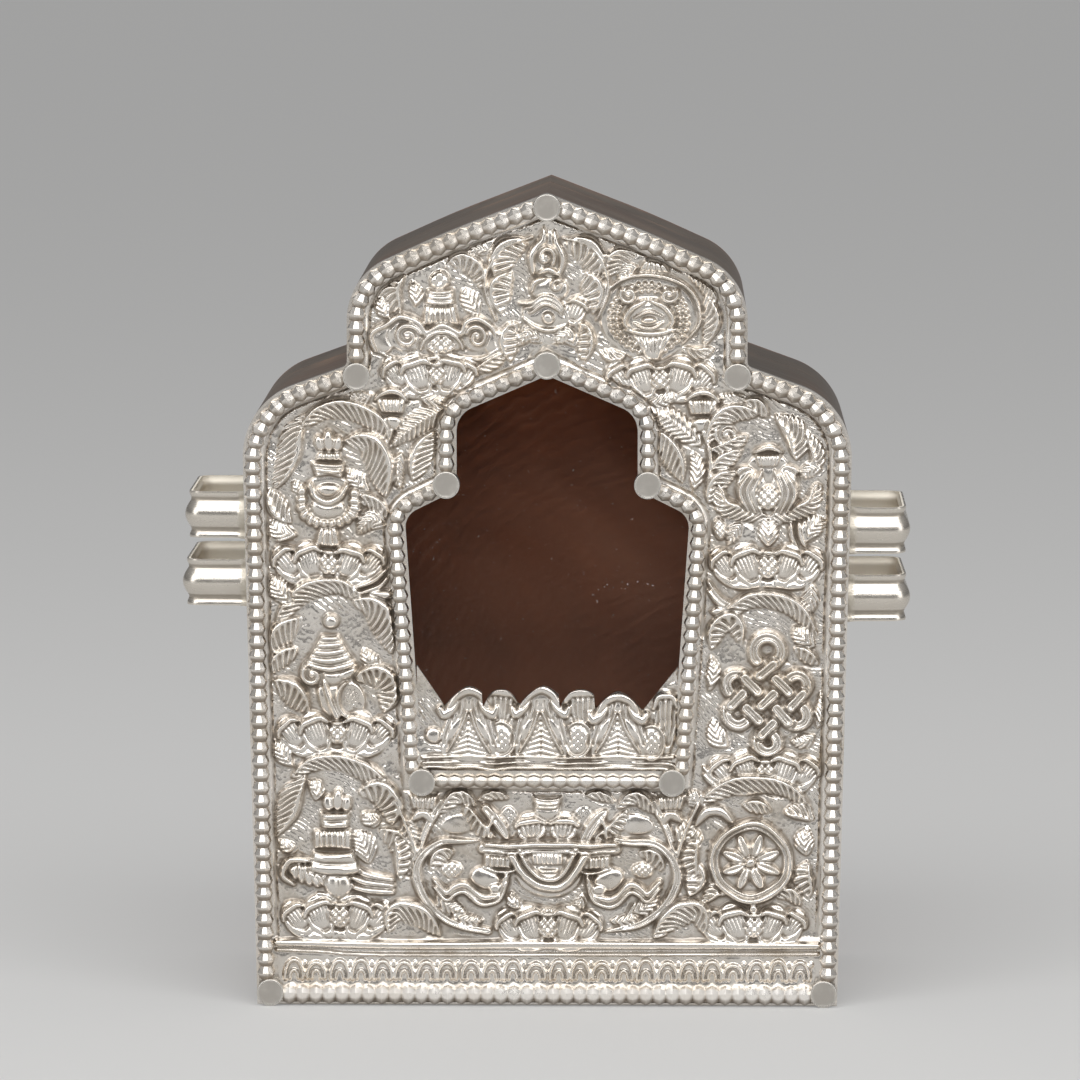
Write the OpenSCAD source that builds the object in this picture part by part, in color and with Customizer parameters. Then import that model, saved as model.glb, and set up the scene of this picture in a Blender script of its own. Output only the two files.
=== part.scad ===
// Ghau: a portable shrine box worn or stood upright, with a glazed window for the image inside.
// A repousse silver front is soldered on a copper case; a copper tray closes it from behind.
// Millimetres. X runs to the right, Y to the back, Z up; the origin is the middle of the base.

/* [Outline] */
// Width of the box at its base
base_width = 107; // [96:0.5:110]
// Width across the shoulders, where the box is widest
shoulder_width = 111.6; // [104:0.2:124]
// Height at which the line of the side meets the line of the shoulder
shoulder_height = 111.5; // [100:0.5:125]
// Rise of the shoulder from that corner up to the valley beside the upper lobe
shoulder_rise = 7; // [4:0.5:10]
// Radius of the rounded shoulder
shoulder_radius = 19.2; // [12:0.2:24]
// Radius of the valley between shoulder and lobe
valley_radius = 1.2; // [0.8:0.1:2.5]
// Width of the upper lobe
lobe_width = 73; // [64:0.5:80]
// Height of the upper lobe's side, from the valley to the corner of the roof
lobe_side = 16.2; // [14:0.2:24]
// Radius of the lobe's rounded corner
lobe_radius = 12.9; // [9:0.1:16]
// Rise of the roof from the lobe's corner to the pointed tip
roof_rise = 15.3; // [10:0.1:20]
// How far the middle of the roof line swells above a straight line
roof_swell = 0.6; // [0.2:0.1:1.2]

/* [Case] */
// Depth of the front part of the case, from the front plate's face to the seam
front_part_depth = 31; // [26:0.5:36]
// Depth of the back lid, from the seam to the back plate's face
lid_depth = 18.2; // [16:0.2:26]
// Thickness of the copper sheet
copper_sheet = 0.8; // [0.6:0.1:1.2]
// Open seam between the case and the closed back lid
seam_gap = 0.15; // [0.1:0.05:0.3]
// Thickness of the copper sleeve that the back lid slides on
sleeve_sheet = 0.7; // [0.5:0.1:1]
// Length of sleeve that is soldered inside the case
sleeve_rooted = 9; // [6:0.5:12]
// Length of sleeve that stands out into the back lid
sleeve_reach = 11; // [6:0.5:14]
// Clearance between the sleeve and the sheet round it
sleeve_clearance = 0.12; // [0.1:0.01:0.25]

/* [Front plate] */
// Thickness of the silver front plate
plate_sheet = 0.8; // [0.6:0.1:1.2]
// Thickness of the silver rim strip round the front plate
rim_sheet = 0.45; // [0.3:0.05:0.7]
// How far the rim strip stands in front of the plate's face
rim_rise = 0.9; // [0.4:0.1:1.4]
// Height of the flatter chased work above the plate's face
low_relief = 0.7; // [0.4:0.1:1]
// Height of the emblems above the plate's face
high_relief = 1.5; // [1.1:0.1:2]

/* [Beaded wires and studs] */
// Diameter of the beaded wire round the outline
outer_wire_d = 3; // [2.4:0.1:3.4]
// Diameter of the beaded wire round the window
window_wire_d = 2.9; // [2.4:0.1:3.4]
// Diameter of the finer wire under the lotus panel
foot_wire_d = 2.5; // [2:0.1:3]
// Diameter of the flat studs that cover the wires' ends
stud_d = 5; // [4.4:0.1:5.6]
// Height of the studs above the plate's face
stud_rise = 2.9; // [2.6:0.1:3.6]

/* [Window] */
// Height of the middle of the wire under the window
window_foot_height = 41.8; // [38:0.2:46]
// Width between the side wires' middles at the foot
window_base_width = 49.2; // [46:0.2:52]
// Width between the side wires' middles at the window's shoulders
window_width = 56; // [53:0.2:59]
// Height of the window's side, from the foot to the shoulder corner
window_side = 50.2; // [46:0.2:54]
// Rise of the window's shoulder up to the side studs
window_shoulder_rise = 4.8; // [3:0.2:6]
// Radius of the window's shoulder
window_shoulder_radius = 5.5; // [3:0.1:7]
// Width between the wires' middles in the window's upper lobe
window_lobe_width = 36.8; // [33:0.2:40]
// Height of the window lobe's side
window_lobe_side = 13.9; // [11:0.1:16]
// Radius of the window lobe's corner
window_lobe_radius = 6.5; // [4:0.1:8]
// Rise of the window's pointed roof
window_roof_rise = 8; // [6:0.2:10]
// Width of the crimped lip that shows inside the window wire
window_lip = 0.4; // [0.2:0.1:0.8]
// Thickness of the window glass
glass_thickness = 1.6; // [1:0.1:2.4]
// How far the glass reaches past the edge of the opening
glass_lap = 2.4; // [1.5:0.1:3]

/* [Lotus panel] */
// Height of the lotus panel from the middle of the foot wire to the tips of its petals
panel_height = 17; // [14:0.2:22]
// Radius of a large front petal
front_petal_radius = 3.5; // [3:0.1:4.2]
// Radius of a petal in the row behind
back_petal_radius = 3.1; // [2.4:0.1:3.6]
// Distance between the front petals
petal_spacing = 14.1; // [12:0.1:15]
// Depth of the dips between the petals
petal_dip = 2.9; // [2:0.1:3.4]
// Height of the triangles that fill the panel's two corners
corner_height = 21; // [19:0.2:24]

/* [Strap loops] */
// Height of the band that each strap loop is bent from
loop_band = 8.5; // [7.5:0.1:9.5]
// How far the loops reach out from the side of the case
loop_reach = 11.1; // [8:0.1:14]
// How far the loops end in front of the seam
loop_margin = 0.8; // [0.4:0.1:6]
// Thickness of the band
loop_sheet = 0.65; // [0.5:0.05:0.9]
// Radius of the band's bends, inside
loop_bend = 0.9; // [0.5:0.1:1.5]
// Height of the half-round swell along the band
loop_swell = 0.65; // [0.3:0.05:0.9]
// Height of the band's two lips
loop_lip = 0.3; // [0.1:0.05:0.5]
// Height of the middle of the upper left loop
loop_height = 90.6; // [84:0.2:94]
// Distance down from the upper loop to the lower one
loop_pitch = 12.5; // [11:0.1:14]
// How much lower the right pair is set than the left pair
loop_right_drop = 2.6; // [0:0.1:3]
// Distance from the plate's face back to the front of the loops
loop_setback = 1.7; // [1.2:0.1:2.5]

/* [Chased ornament] */
// Outer radius of the wheel
wheel_radius = 7; // [5.5:0.1:7.6]
// Width of the wheel's rim
wheel_rim = 1.5; // [1:0.1:2]
// Width of the strands of the endless knot
knot_strand = 1.5; // [1:0.1:1.8]
// Distance between the strands of the endless knot
knot_pitch = 3.6; // [3.2:0.1:4]
// Length of a petal of a lotus seat
seat_petal = 5.2; // [4:0.1:6]
// Length of a scrolling leaf
leaf_length = 9.5; // [7:0.1:10.5]
// Distance between the small arched petals along the base
border_pitch = 4.25; // [3.8:0.05:5]
// Radius of a small arched petal along the base
border_petal_radius = 1.75; // [1.3:0.05:1.85]
// Radius of the two ridges above those petals
ridge_radius = 0.75; // [0.5:0.05:0.9]

/* [Hidden] */

$fn = 48;
// Overrun of every cutting shape past the face that it cuts
cut = 1;
// Largest turn between two points of a rounded corner, in degrees
arc_step_angle = 7;
// Share of the shorter neighbouring edge that a rounded corner may use
corner_share = 0.49;

case_height = shoulder_height + shoulder_rise + lobe_side + roof_rise;
valley_height = shoulder_height + shoulder_rise;
lobe_height = valley_height + lobe_side;
case_depth = front_part_depth + lid_depth;
total_depth = case_depth + stud_rise;
face_y = stud_rise - total_depth / 2;

window_shoulder_height = window_foot_height + window_side;
window_valley_height = window_shoulder_height + window_shoulder_rise;
window_lobe_height = window_valley_height + window_lobe_side;
window_tip_height = window_lobe_height + window_roof_rise;

// Distance from the outline in to the middle of the outer wire
outer_wire_inset = rim_sheet + outer_wire_d / 2;
// Height of a wire's middle above the plate, as a share of its radius
wire_seat_share = 0.78;
// Gap between the wires' ends and the studs that cover them
stud_clearance = 0.05;
// How far the upper outer studs sit inside the crossing of their wires
stud_tuck = 0.6;
// How far the studs under the window sit inside the side wires
foot_stud_tuck = 1.6;

// Small vector and corner helpers
function unit(v) = v / norm(v);
function left_of(v) = [-v[1], v[0]];
function turned(v, angle) = [v[0] * cos(angle) - v[1] * sin(angle), v[0] * sin(angle) + v[1] * cos(angle)];
function place(corner) = [corner[0], corner[1]];
function turn_between(from, to) = atan2(from[0] * to[1] - from[1] * to[0], from * to);

// The length of edge that a rounded corner uses on each side
function corner_tangent(before, corner, after) =
    let (in_edge = place(corner) - place(before),
         out_edge = place(after) - place(corner),
         half_turn = abs(turn_between(unit(in_edge), unit(out_edge))) / 2)
    min(corner[2] * tan(half_turn), corner_share * min(norm(in_edge), norm(out_edge)));

// The points of one corner [x, z, radius], rounded where it has a radius
function corner_points(before, corner, after) =
    corner[2] == 0 ? [place(corner)] :
    let (in_way = unit(place(corner) - place(before)),
         out_way = unit(place(after) - place(corner)),
         turn = turn_between(in_way, out_way),
         tangent = corner_tangent(before, corner, after),
         radius = tangent / tan(abs(turn) / 2),
         to_centre = left_of(in_way) * sign(turn) * radius,
         centre = place(corner) - in_way * tangent + to_centre,
         steps = max(2, ceil(abs(turn) / arc_step_angle)))
    [for (k = [0:steps]) centre + turned(-to_centre, turn * k / steps)];

// A closed outline from its corners, anticlockwise
function rounded(corners) =
    let (count = len(corners))
    [for (i = [0:count - 1])
        each corner_points(corners[(i + count - 1) % count], corners[i], corners[(i + 1) % count])];

// The same outline moved in by a distance, or out where it is negative
function inset_outline(points, inset) =
    let (count = len(points))
    [for (i = [0:count - 1])
        let (before = unit(points[i] - points[(i + count - 1) % count]),
             after = unit(points[(i + 1) % count] - points[i]))
        points[i] + inset * (left_of(before) + left_of(after)) / (1 + before * after)];

// The corners moved in, each with the radius that keeps its round concentric
function inset_corners(corners, inset) =
    let (count = len(corners),
         moved = inset_outline([for (corner = corners) place(corner)], inset))
    [for (i = [0:count - 1])
        let (in_way = unit(place(corners[i]) - place(corners[(i + count - 1) % count])),
             out_way = unit(place(corners[(i + 1) % count]) - place(corners[i])),
             side = sign(turn_between(in_way, out_way)),
             radius = corners[i][2])
        [moved[i][0], moved[i][1], radius == 0 ? 0 : radius - side * inset]];

// A full outline from the corners of its right half, from the base up to the tip
function mirrored(half) =
    concat(half, [for (i = [len(half) - 2:-1:0]) [-half[i][0], half[i][1], half[i][2]]]);

// The outline of the case, with its corners named by their place in the list
roof_break = [lobe_width / 4, (lobe_height + case_height) / 2 + roof_swell];
roof_break_radius = 2 * lobe_width;
outline_corners = mirrored([
    [base_width / 2, 0, 0],
    [shoulder_width / 2, shoulder_height, shoulder_radius],
    [lobe_width / 2, valley_height, valley_radius],
    [lobe_width / 2, lobe_height, lobe_radius],
    [roof_break[0], roof_break[1], roof_break_radius],
    [0, case_height, 0]]);
outline = rounded(outline_corners);
base_right = 0;
shoulder_right = base_right + 1;
valley_right = shoulder_right + 1;
lobe_right = valley_right + 1;
break_right = lobe_right + 1;
tip = break_right + 1;
break_left = tip + 1;
lobe_left = break_left + 1;
valley_left = lobe_left + 1;
shoulder_left = valley_left + 1;
base_left = shoulder_left + 1;

// The line of the window wires' middles, whose corners are named in the same way
window_corners = mirrored([
    [window_base_width / 2, window_foot_height, 0],
    [window_width / 2, window_shoulder_height, window_shoulder_radius],
    [window_lobe_width / 2, window_valley_height, 0],
    [window_lobe_width / 2, window_lobe_height, window_lobe_radius],
    [0, window_tip_height, 0]]);
window_line = rounded(window_corners);
window_foot_right = 0;
window_shoulder_right = window_foot_right + 1;
window_valley_right = window_shoulder_right + 1;
window_lobe_right = window_valley_right + 1;
window_tip = window_lobe_right + 1;
window_lobe_left = window_tip + 1;
window_valley_left = window_lobe_left + 1;
window_shoulder_left = window_valley_left + 1;
window_foot_left = window_shoulder_left + 1;

outer_wire_corners = inset_corners(outline_corners, outer_wire_inset);
opening_inset = window_wire_d / 2 + window_lip;

// The front frame: drawn shapes lie in the plate's face and heights count towards the viewer
module front_frame() {
    translate([0, face_y, 0]) rotate([90, 0, 0]) children();
}

// A sheet of the given outline between two heights
module sheet(points, low, high) {
    translate([0, 0, low]) linear_extrude(high - low) polygon(points);
}

// A band of sheet that follows the case's outline
module outline_band(outer_inset, thickness, low, high) {
    difference() {
        sheet(inset_outline(outline, outer_inset), low, high);
        sheet(inset_outline(outline, outer_inset + thickness), low - cut, high + cut);
    }
}

// The points of an open line through corners, rounded where they have a radius
function open_line(corners) =
    let (last = len(corners) - 1)
    [for (i = [0:last])
        each (i == 0 || i == last ? [place(corners[i])]
            : corner_points(corners[i - 1], corners[i], corners[i + 1]))];

// The section of a round wire that is flat where it lies on the plate: [sideways, height]
wire_sides = 10;
function wire_section(diameter) =
    let (radius = diameter / 2,
         dip = asin(wire_seat_share))
    [for (k = [0:wire_sides - 1])
        let (angle = -dip + (180 + 2 * dip) * k / (wire_sides - 1))
        [radius * cos(angle), radius * (wire_seat_share + sin(angle))]];

// The section's points where the wire passes one point of its line, in the plane of the mitre
function wire_ring(line, i, section) =
    let (last = len(line) - 1,
         in_way = unit(i == 0 ? line[1] - line[0] : line[i] - line[i - 1]),
         out_way = i == last ? in_way : unit(line[i + 1] - line[i]),
         sideways = (left_of(in_way) + left_of(out_way)) / (1 + in_way * out_way))
    [for (point = section)
        let (at = line[i] + point[0] * sideways)
        [at[0], at[1], point[1]]];

// A wire along open corners
module wire(corners, diameter) {
    line = open_line(corners);
    section = wire_section(diameter);
    last = len(line) - 1;
    polyhedron(
        points = [for (i = [0:last]) each wire_ring(line, i, section)],
        faces = concat(
            [[for (j = [0:wire_sides - 1]) j]],
            [[for (j = [wire_sides - 1:-1:0]) last * wire_sides + j]],
            [for (i = [0:last - 1]) for (j = [0:wire_sides - 1])
                let (next = (j + 1) % wire_sides)
                [i * wire_sides + j, (i + 1) * wire_sides + j,
                    (i + 1) * wire_sides + next, i * wire_sides + next]]));
}

// The studs' places, on the crossings of the wires; the base studs are flush with the box's edges
function outer_stud_place(corner) =
    let (crossing = outer_wire_corners[corner],
         side = sign(crossing[0]))
    corner == base_left || corner == base_right
    ? [side * (base_width / 2 - stud_d / 2), stud_d / 2]
    : [crossing[0], crossing[1] - stud_tuck];
function window_stud_place(corner) =
    let (crossing = window_corners[corner],
         side = sign(crossing[0]),
         foot = corner == window_foot_left || corner == window_foot_right)
    [crossing[0] - (foot ? side * foot_stud_tuck : 0), crossing[1]];

module stud(at) {
    translate([at[0], at[1], 0]) cylinder(h = stud_rise, d = stud_d);
}

module stud_clearing(at) {
    translate([at[0], at[1], -cut]) cylinder(h = stud_rise + 2 * cut, d = stud_d + 2 * stud_clearance);
}

// One outer wire between two studs, through the corners between them
module outer_wire(stops) {
    color([0.86, 0.84, 0.81]) front_frame() difference() {
        wire([for (i = stops) outer_wire_corners[i]], outer_wire_d);
        stud_clearing(outer_stud_place(stops[0]));
        stud_clearing(outer_stud_place(stops[len(stops) - 1]));
    }
}

// One window wire between two studs
module window_wire(stops, diameter) {
    color([0.86, 0.84, 0.81]) front_frame() difference() {
        wire([for (i = stops) window_corners[i]], diameter);
        stud_clearing(window_stud_place(stops[0]));
        stud_clearing(window_stud_place(stops[len(stops) - 1]));
    }
}

outer_stud_corners = [base_right, valley_right, tip, valley_left, base_left];
window_stud_corners = [window_foot_right, window_valley_right, window_tip, window_valley_left,
    window_foot_left];
module outer_stud(corner) {
    color([0.72, 0.71, 0.7]) front_frame() stud(outer_stud_place(corner));
}

module window_stud(corner) {
    color([0.72, 0.71, 0.7]) front_frame() stud(window_stud_place(corner));
}

// Places on the front, as shares of half the shoulder width and of the case's height
function front_place(share) = [share[0] * shoulder_width / 2, share[1] * case_height];

// The flat shapes of the chased ornament

// A pointed petal or leaf that grows up from its own foot, its widest place in the middle
module pointed_petal(length, width) {
    bow = (length * length + width * width) / (4 * width);
    intersection() {
        translate([bow - width / 2, length / 2]) circle(bow);
        translate([width / 2 - bow, length / 2]) circle(bow);
    }
}

// A fan of petals on one round foot
fan_foot_share = 0.14;
module petal_fan(count, spread, length, width_share) {
    circle(length * fan_foot_share);
    for (k = [0:count - 1]) {
        rotate(spread * (k / (count - 1) - 1 / 2)) pointed_petal(length, length * width_share);
    }
}

// The spread of a lotus seat's petals and the width of a petal as a share of its length
seat_spread_angle = 150;
seat_width_share = 0.42;
module lotus_seat() {
    petal_fan(7, seat_spread_angle, seat_petal, seat_width_share);
    circle(seat_petal / 4);
}

// Where the lotus seats stand
seat_shares = [[-0.70, 0.538], [-0.70, 0.322], [-0.68, 0.082], [0.72, 0.534], [0.71, 0.296],
    [0.67, 0.078], [0, 0.078], [-0.37, 0.768], [0.37, 0.768]];

// The scrolling leaves, each with its foot and the way it points in degrees from upright
leaf_shares = [
    [-0.86, 0.66, 14], [-0.56, 0.66, -12], [-0.56, 0.60, 22], [-0.86, 0.60, -14],
    [-0.86, 0.42, 8], [-0.55, 0.42, -10], [-0.57, 0.47, 24], [-0.85, 0.36, -10],
    [-0.87, 0.19, 5], [-0.52, 0.18, -14], [-0.75, 0.245, -40], [-0.62, 0.255, 50],
    [0.88, 0.66, -14], [0.58, 0.66, 12], [0.58, 0.60, -22], [0.88, 0.60, 14],
    [0.88, 0.42, -8], [0.57, 0.42, 10], [0.60, 0.345, -24], [0.86, 0.345, 10],
    [0.87, 0.17, -5], [0.47, 0.17, 10], [0.60, 0.25, -50], [0.75, 0.245, 40],
    [-0.33, 0.20, 42], [-0.20, 0.20, -42], [0.33, 0.20, -42], [0.20, 0.20, 42],
    [-0.40, 0.125, 62], [0.40, 0.125, -62], [-0.17, 0.88, 24], [0.17, 0.88, -24],
    [-0.20, 0.79, -20], [0.20, 0.79, 20], [-0.42, 0.70, 20], [0.42, 0.70, -20],
    [-0.36, 0.64, -20], [0.36, 0.64, 20]];
leaf_width_share = 0.34;

module leaves() {
    for (share = leaf_shares) {
        translate(front_place(share)) rotate(share[2])
            pointed_petal(leaf_length, leaf_length * leaf_width_share);
    }
}

// The wheel of eight spokes
module wheel() {
    difference() {
        circle(wheel_radius);
        circle(wheel_radius - wheel_rim);
    }
    petal_length = wheel_radius - wheel_rim / 2;
    for (k = [0:7]) {
        rotate(45 * k) pointed_petal(petal_length, petal_length / 3);
    }
    circle(wheel_radius / 5);
}

// The endless knot: strands both ways, joined by round turns at the four points
module endless_knot() {
    reach = 2 * knot_pitch;
    for (way = [45, -45]) {
        rotate(way) for (k = [-1:1]) {
            translate([k * knot_pitch - knot_strand / 2, -reach])
                square([knot_strand, 2 * reach]);
        }
    }
    for (way = [0:3]) {
        rotate(90 * way) translate([0, reach * sqrt(2)]) difference() {
            circle(knot_pitch / 2 + knot_strand / 2);
            circle(knot_pitch / 2 - knot_strand / 2);
        }
    }
}

// The open lotus
flower_petal = 8;
flower_spread_angle = 200;
module lotus_flower() {
    translate([0, -flower_petal / 2])
        petal_fan(7, flower_spread_angle, flower_petal, seat_width_share);
    circle(flower_petal / 4);
}

// The vase with its neck, lip and spreading foot
vase_belly_d = 9;
module treasure_vase() {
    circle(d = vase_belly_d);
    translate([-vase_belly_d / 5, 0]) square([vase_belly_d * 2 / 5, vase_belly_d * 4 / 5]);
    translate([-vase_belly_d / 3, vase_belly_d * 3 / 5]) square([vase_belly_d * 2 / 3, vase_belly_d / 5]);
    translate([0, vase_belly_d * 3 / 4]) pointed_petal(vase_belly_d * 2 / 3, vase_belly_d / 3);
    translate([-vase_belly_d / 3, -vase_belly_d * 2 / 3])
        square([vase_belly_d * 2 / 3, vase_belly_d / 4]);
}

// The coiled shell: rings that grow smaller towards the tip
shell_ring_d = 8.5;
shell_step_share = 0.78;
module shell() {
    for (k = [0:3]) {
        translate([0, shell_ring_d * (1 - pow(shell_step_share, k)) * 2 - shell_ring_d / 2])
            circle(d = shell_ring_d * pow(shell_step_share, k));
    }
}

// The parasol with its tiers, drapes and finial
parasol_width = 12;
drape_spread_angle = 110;
module parasol() {
    intersection() {
        circle(d = parasol_width);
        translate([-parasol_width / 2, 0]) square([parasol_width, parasol_width]);
    }
    for (k = [0:2]) {
        tier = parasol_width * (3 - k) / 4;
        translate([-tier / 2, parasol_width * (2 + k) / 8]) square([tier, parasol_width / 7]);
    }
    translate([0, parasol_width * 5 / 8]) circle(d = parasol_width / 4);
    translate([0, -parasol_width / 8]) rotate(180)
        petal_fan(5, drape_spread_angle, parasol_width / 2, seat_width_share);
}

// The offering bowl on its stand
bowl_width = 17;
offering_spread_angle = 120;
module offering_bowl() {
    intersection() {
        circle(d = bowl_width);
        translate([-bowl_width / 2, -bowl_width / 2]) square([bowl_width, bowl_width / 2]);
    }
    translate([-bowl_width * 5 / 8, -bowl_width / 16]) square([bowl_width * 5 / 4, bowl_width / 8]);
    petal_fan(5, offering_spread_angle, bowl_width * 2 / 5, seat_width_share);
}

// A fish that swims up beside the bowl, its tail at its foot
fish_length = 13;
tail_spread_angle = 70;
module fish() {
    pointed_petal(fish_length, fish_length / 3);
    petal_fan(2, tail_spread_angle, fish_length / 3, seat_width_share);
}

// The jewel in its flames
flame_length = 15;
flame_spread_angle = 80;
module flaming_jewel() {
    petal_fan(5, flame_spread_angle, flame_length, leaf_width_share);
    translate([0, flame_length / 4]) circle(d = flame_length / 3);
}

// The banner finial on its cloud
finial_d = 6;
module banner_finial() {
    for (k = [0:2]) {
        translate([0, k * finial_d * 3 / 5]) circle(d = finial_d * (4 - k) / 4);
    }
    for (side = [-1, 1]) {
        translate([side * finial_d, -finial_d / 2]) circle(d = finial_d);
    }
    translate([-finial_d, -finial_d * 3 / 4]) square([2 * finial_d, finial_d / 2]);
}

// The beaded medallion
medallion_d = 13;
module medallion() {
    difference() {
        circle(d = medallion_d);
        circle(d = medallion_d * 3 / 4);
    }
    circle(d = medallion_d / 2);
}

// Where the emblems stand
wheel_share = [0.672, 0.180];
knot_share = [0.713, 0.391];
flower_share = [0.719, 0.628];
vase_share = [-0.724, 0.632];
shell_share = [-0.715, 0.450];
parasol_share = [-0.692, 0.190];
bowl_share = [0, 0.170];
fish_share = [0.285, 0.125];
fish_lean_angle = -18;
jewel_share = [0, 0.815];
finial_share = [-0.350, 0.835];
medallion_share = [0.332, 0.851];

module emblems() {
    translate(front_place(wheel_share)) wheel();
    translate(front_place(knot_share)) endless_knot();
    translate(front_place(flower_share)) lotus_flower();
    translate(front_place(vase_share)) treasure_vase();
    translate(front_place(shell_share)) shell();
    translate(front_place(parasol_share)) parasol();
    translate(front_place(bowl_share)) offering_bowl();
    for (side = [-1, 1]) {
        translate(front_place([side * fish_share[0], fish_share[1]])) rotate(side * fish_lean_angle) fish();
    }
    translate(front_place(jewel_share)) flaming_jewel();
    translate(front_place(finial_share)) banner_finial();
    translate(front_place(medallion_share)) medallion();
}

// The field that the chased work keeps to, inside the outer wire and outside the window wire
field_edge = 0.3;
module ornament_field() {
    difference() {
        polygon(inset_outline(outline, outer_wire_inset + outer_wire_d / 2 + field_edge));
        polygon(inset_outline(window_line, -window_wire_d / 2 - field_edge));
        for (corner = outer_stud_corners) {
            translate(outer_stud_place(corner)) circle(d = stud_d + 2 * field_edge);
        }
        for (corner = window_stud_corners) {
            translate(window_stud_place(corner)) circle(d = stud_d + 2 * field_edge);
        }
    }
}

// The row of arched petals and the two ridges along the base
border_height = outer_wire_inset + outer_wire_d / 2 + border_petal_radius + field_edge;
ridge_height = border_height + 2 * border_petal_radius + ridge_radius;
ridge_gap = 0.3;
border_length = base_width - 2 * outer_wire_inset - outer_wire_d - 2 * border_petal_radius;
border_count = floor(border_length / border_pitch);
module border_row(radius) {
    for (k = [0:border_count]) {
        translate([border_pitch * (k - border_count / 2), border_height]) union() {
            circle(radius);
            translate([-radius, -radius]) square([2 * radius, radius]);
        }
    }
}

module base_ridges() {
    length = base_width - 2 * outer_wire_inset - outer_wire_d;
    for (k = [0:1]) {
        intersection() {
            translate([-length / 2, ridge_height + (2 * ridge_radius + ridge_gap) * k, 0])
                rotate([0, 90, 0]) cylinder(h = length, r = ridge_radius);
            translate([-length, 0, 0]) cube([2 * length, 3 * ridge_height, 2 * ridge_radius]);
        }
    }
}

// The front plate: one silver sheet with its chased relief, cut out for window and lotus panel
module front_plate() {
    color([0.9, 0.88, 0.85]) front_frame() {
        difference() {
            union() {
                sheet(inset_outline(outline, rim_sheet), -plate_sheet, 0);
                linear_extrude(low_relief) intersection() {
                    ornament_field();
                    union() {
                        leaves();
                        border_row(border_petal_radius);
                        for (share = seat_shares) {
                            translate(front_place(share)) lotus_seat();
                        }
                    }
                }
                linear_extrude(high_relief) intersection() {
                    ornament_field();
                    emblems();
                }
                base_ridges();
            }
            sheet(inset_outline(window_line, opening_inset), -plate_sheet - cut, high_relief + cut);
        }
    }
}

// The rim: a thin silver strip on edge round the front plate, cut down where a stud covers it
module front_rim() {
    color([0.8, 0.77, 0.72]) front_frame() difference() {
        outline_band(0, rim_sheet, -plate_sheet, rim_rise);
        for (corner = outer_stud_corners) {
            translate(outer_stud_place(corner)) cylinder(h = stud_rise, d = stud_d + 2 * stud_clearance);
        }
    }
}

// The lotus panel: a silver throne of petals let into the foot of the opening
panel_edge_clearance = 0.05;
front_petal_shares = [-1, 0, 1];
back_petal_shares = [-0.63, 0.45];
module lotus_panel() {
    opening = inset_outline(window_line, opening_inset + panel_edge_clearance);
    petal_top = window_foot_height + panel_height;
    dip_height = petal_top - petal_dip;
    corner_top = window_foot_height + corner_height;
    half = window_width / 2;
    corner_start = petal_spacing + front_petal_radius;
    color([0.88, 0.86, 0.83]) front_frame() {
        translate([0, 0, -plate_sheet]) linear_extrude(plate_sheet) intersection() {
            polygon(opening);
            union() {
                translate([-half, 0]) square([2 * half, dip_height]);
                for (share = front_petal_shares) {
                    translate([share * petal_spacing, petal_top - front_petal_radius])
                        circle(front_petal_radius);
                }
                for (share = back_petal_shares) {
                    translate([share * petal_spacing, petal_top - back_petal_radius - low_relief / 2])
                        circle(back_petal_radius);
                }
                for (side = [-1, 1]) {
                    polygon([[side * corner_start, dip_height - cut],
                        [side * half, dip_height - cut],
                        [side * half, corner_top + cut],
                        [side * corner_start, dip_height]]);
                }
            }
        }
        for (share = front_petal_shares) {
            translate([share * petal_spacing, petal_top - front_petal_radius, 0])
                cylinder(h = high_relief, r = front_petal_radius - low_relief);
        }
    }
}

// The glass behind the opening
function glass_outline() = inset_outline(window_line, opening_inset - glass_lap);
glass_clearance = 0.1;
glass_front = -plate_sheet - glass_clearance;
glass_back = glass_front - glass_thickness;
module window_glass() {
    color([0.75, 0.8, 0.8, 0.35]) front_frame() sheet(glass_outline(), glass_back, glass_front);
}

// The bent tabs that hold the glass from behind, soldered on the plate's back
tab_width = 7;
tab_sheet = 0.5;
tab_reach = 2.2;
tab_foot = 2.5;
module glass_tab(at, way) {
    tab_back = glass_back - glass_clearance;
    color([0.8, 0.79, 0.77]) front_frame() translate([at[0], at[1], 0]) rotate(way) {
        translate([-tab_width / 2, glass_clearance, tab_back - tab_sheet])
            cube([tab_width, tab_sheet, -plate_sheet - tab_back + tab_sheet]);
        translate([-tab_width / 2, glass_clearance, -plate_sheet - tab_sheet])
            cube([tab_width, tab_foot, tab_sheet]);
        translate([-tab_width / 2, -tab_reach, tab_back - tab_sheet])
            cube([tab_width, tab_reach + glass_clearance + tab_sheet, tab_sheet]);
    }
}
glass_side_height = window_foot_height + window_side / 2;
glass_grow = glass_lap - opening_inset;
glass_side_half = (window_base_width + window_width) / 4 + glass_grow;
glass_side_lean = atan((window_width - window_base_width) / (2 * window_side));
glass_roof_lean = atan(window_roof_rise / (window_lobe_width / 2));
glass_top_x = window_lobe_width / 5;
glass_top_height = window_tip_height - glass_top_x * tan(glass_roof_lean) + glass_grow / cos(glass_roof_lean);

// The case wall: one copper strip bent round the outline
module case_wall() {
    color([0.4, 0.33, 0.29]) front_frame()
        outline_band(0, copper_sheet, -front_part_depth, -plate_sheet);
}

// The sleeve inside the case that the back lid slides on
module lid_sleeve() {
    color([0.62, 0.38, 0.28]) front_frame()
        outline_band(copper_sheet + sleeve_clearance, sleeve_sheet,
            -front_part_depth - sleeve_reach, -front_part_depth + sleeve_rooted);
}

// The back lid's wall, flush with the case
module lid_wall() {
    color([0.45, 0.38, 0.34]) front_frame()
        outline_band(0, copper_sheet, -case_depth + copper_sheet, -front_part_depth - seam_gap);
}

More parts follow.
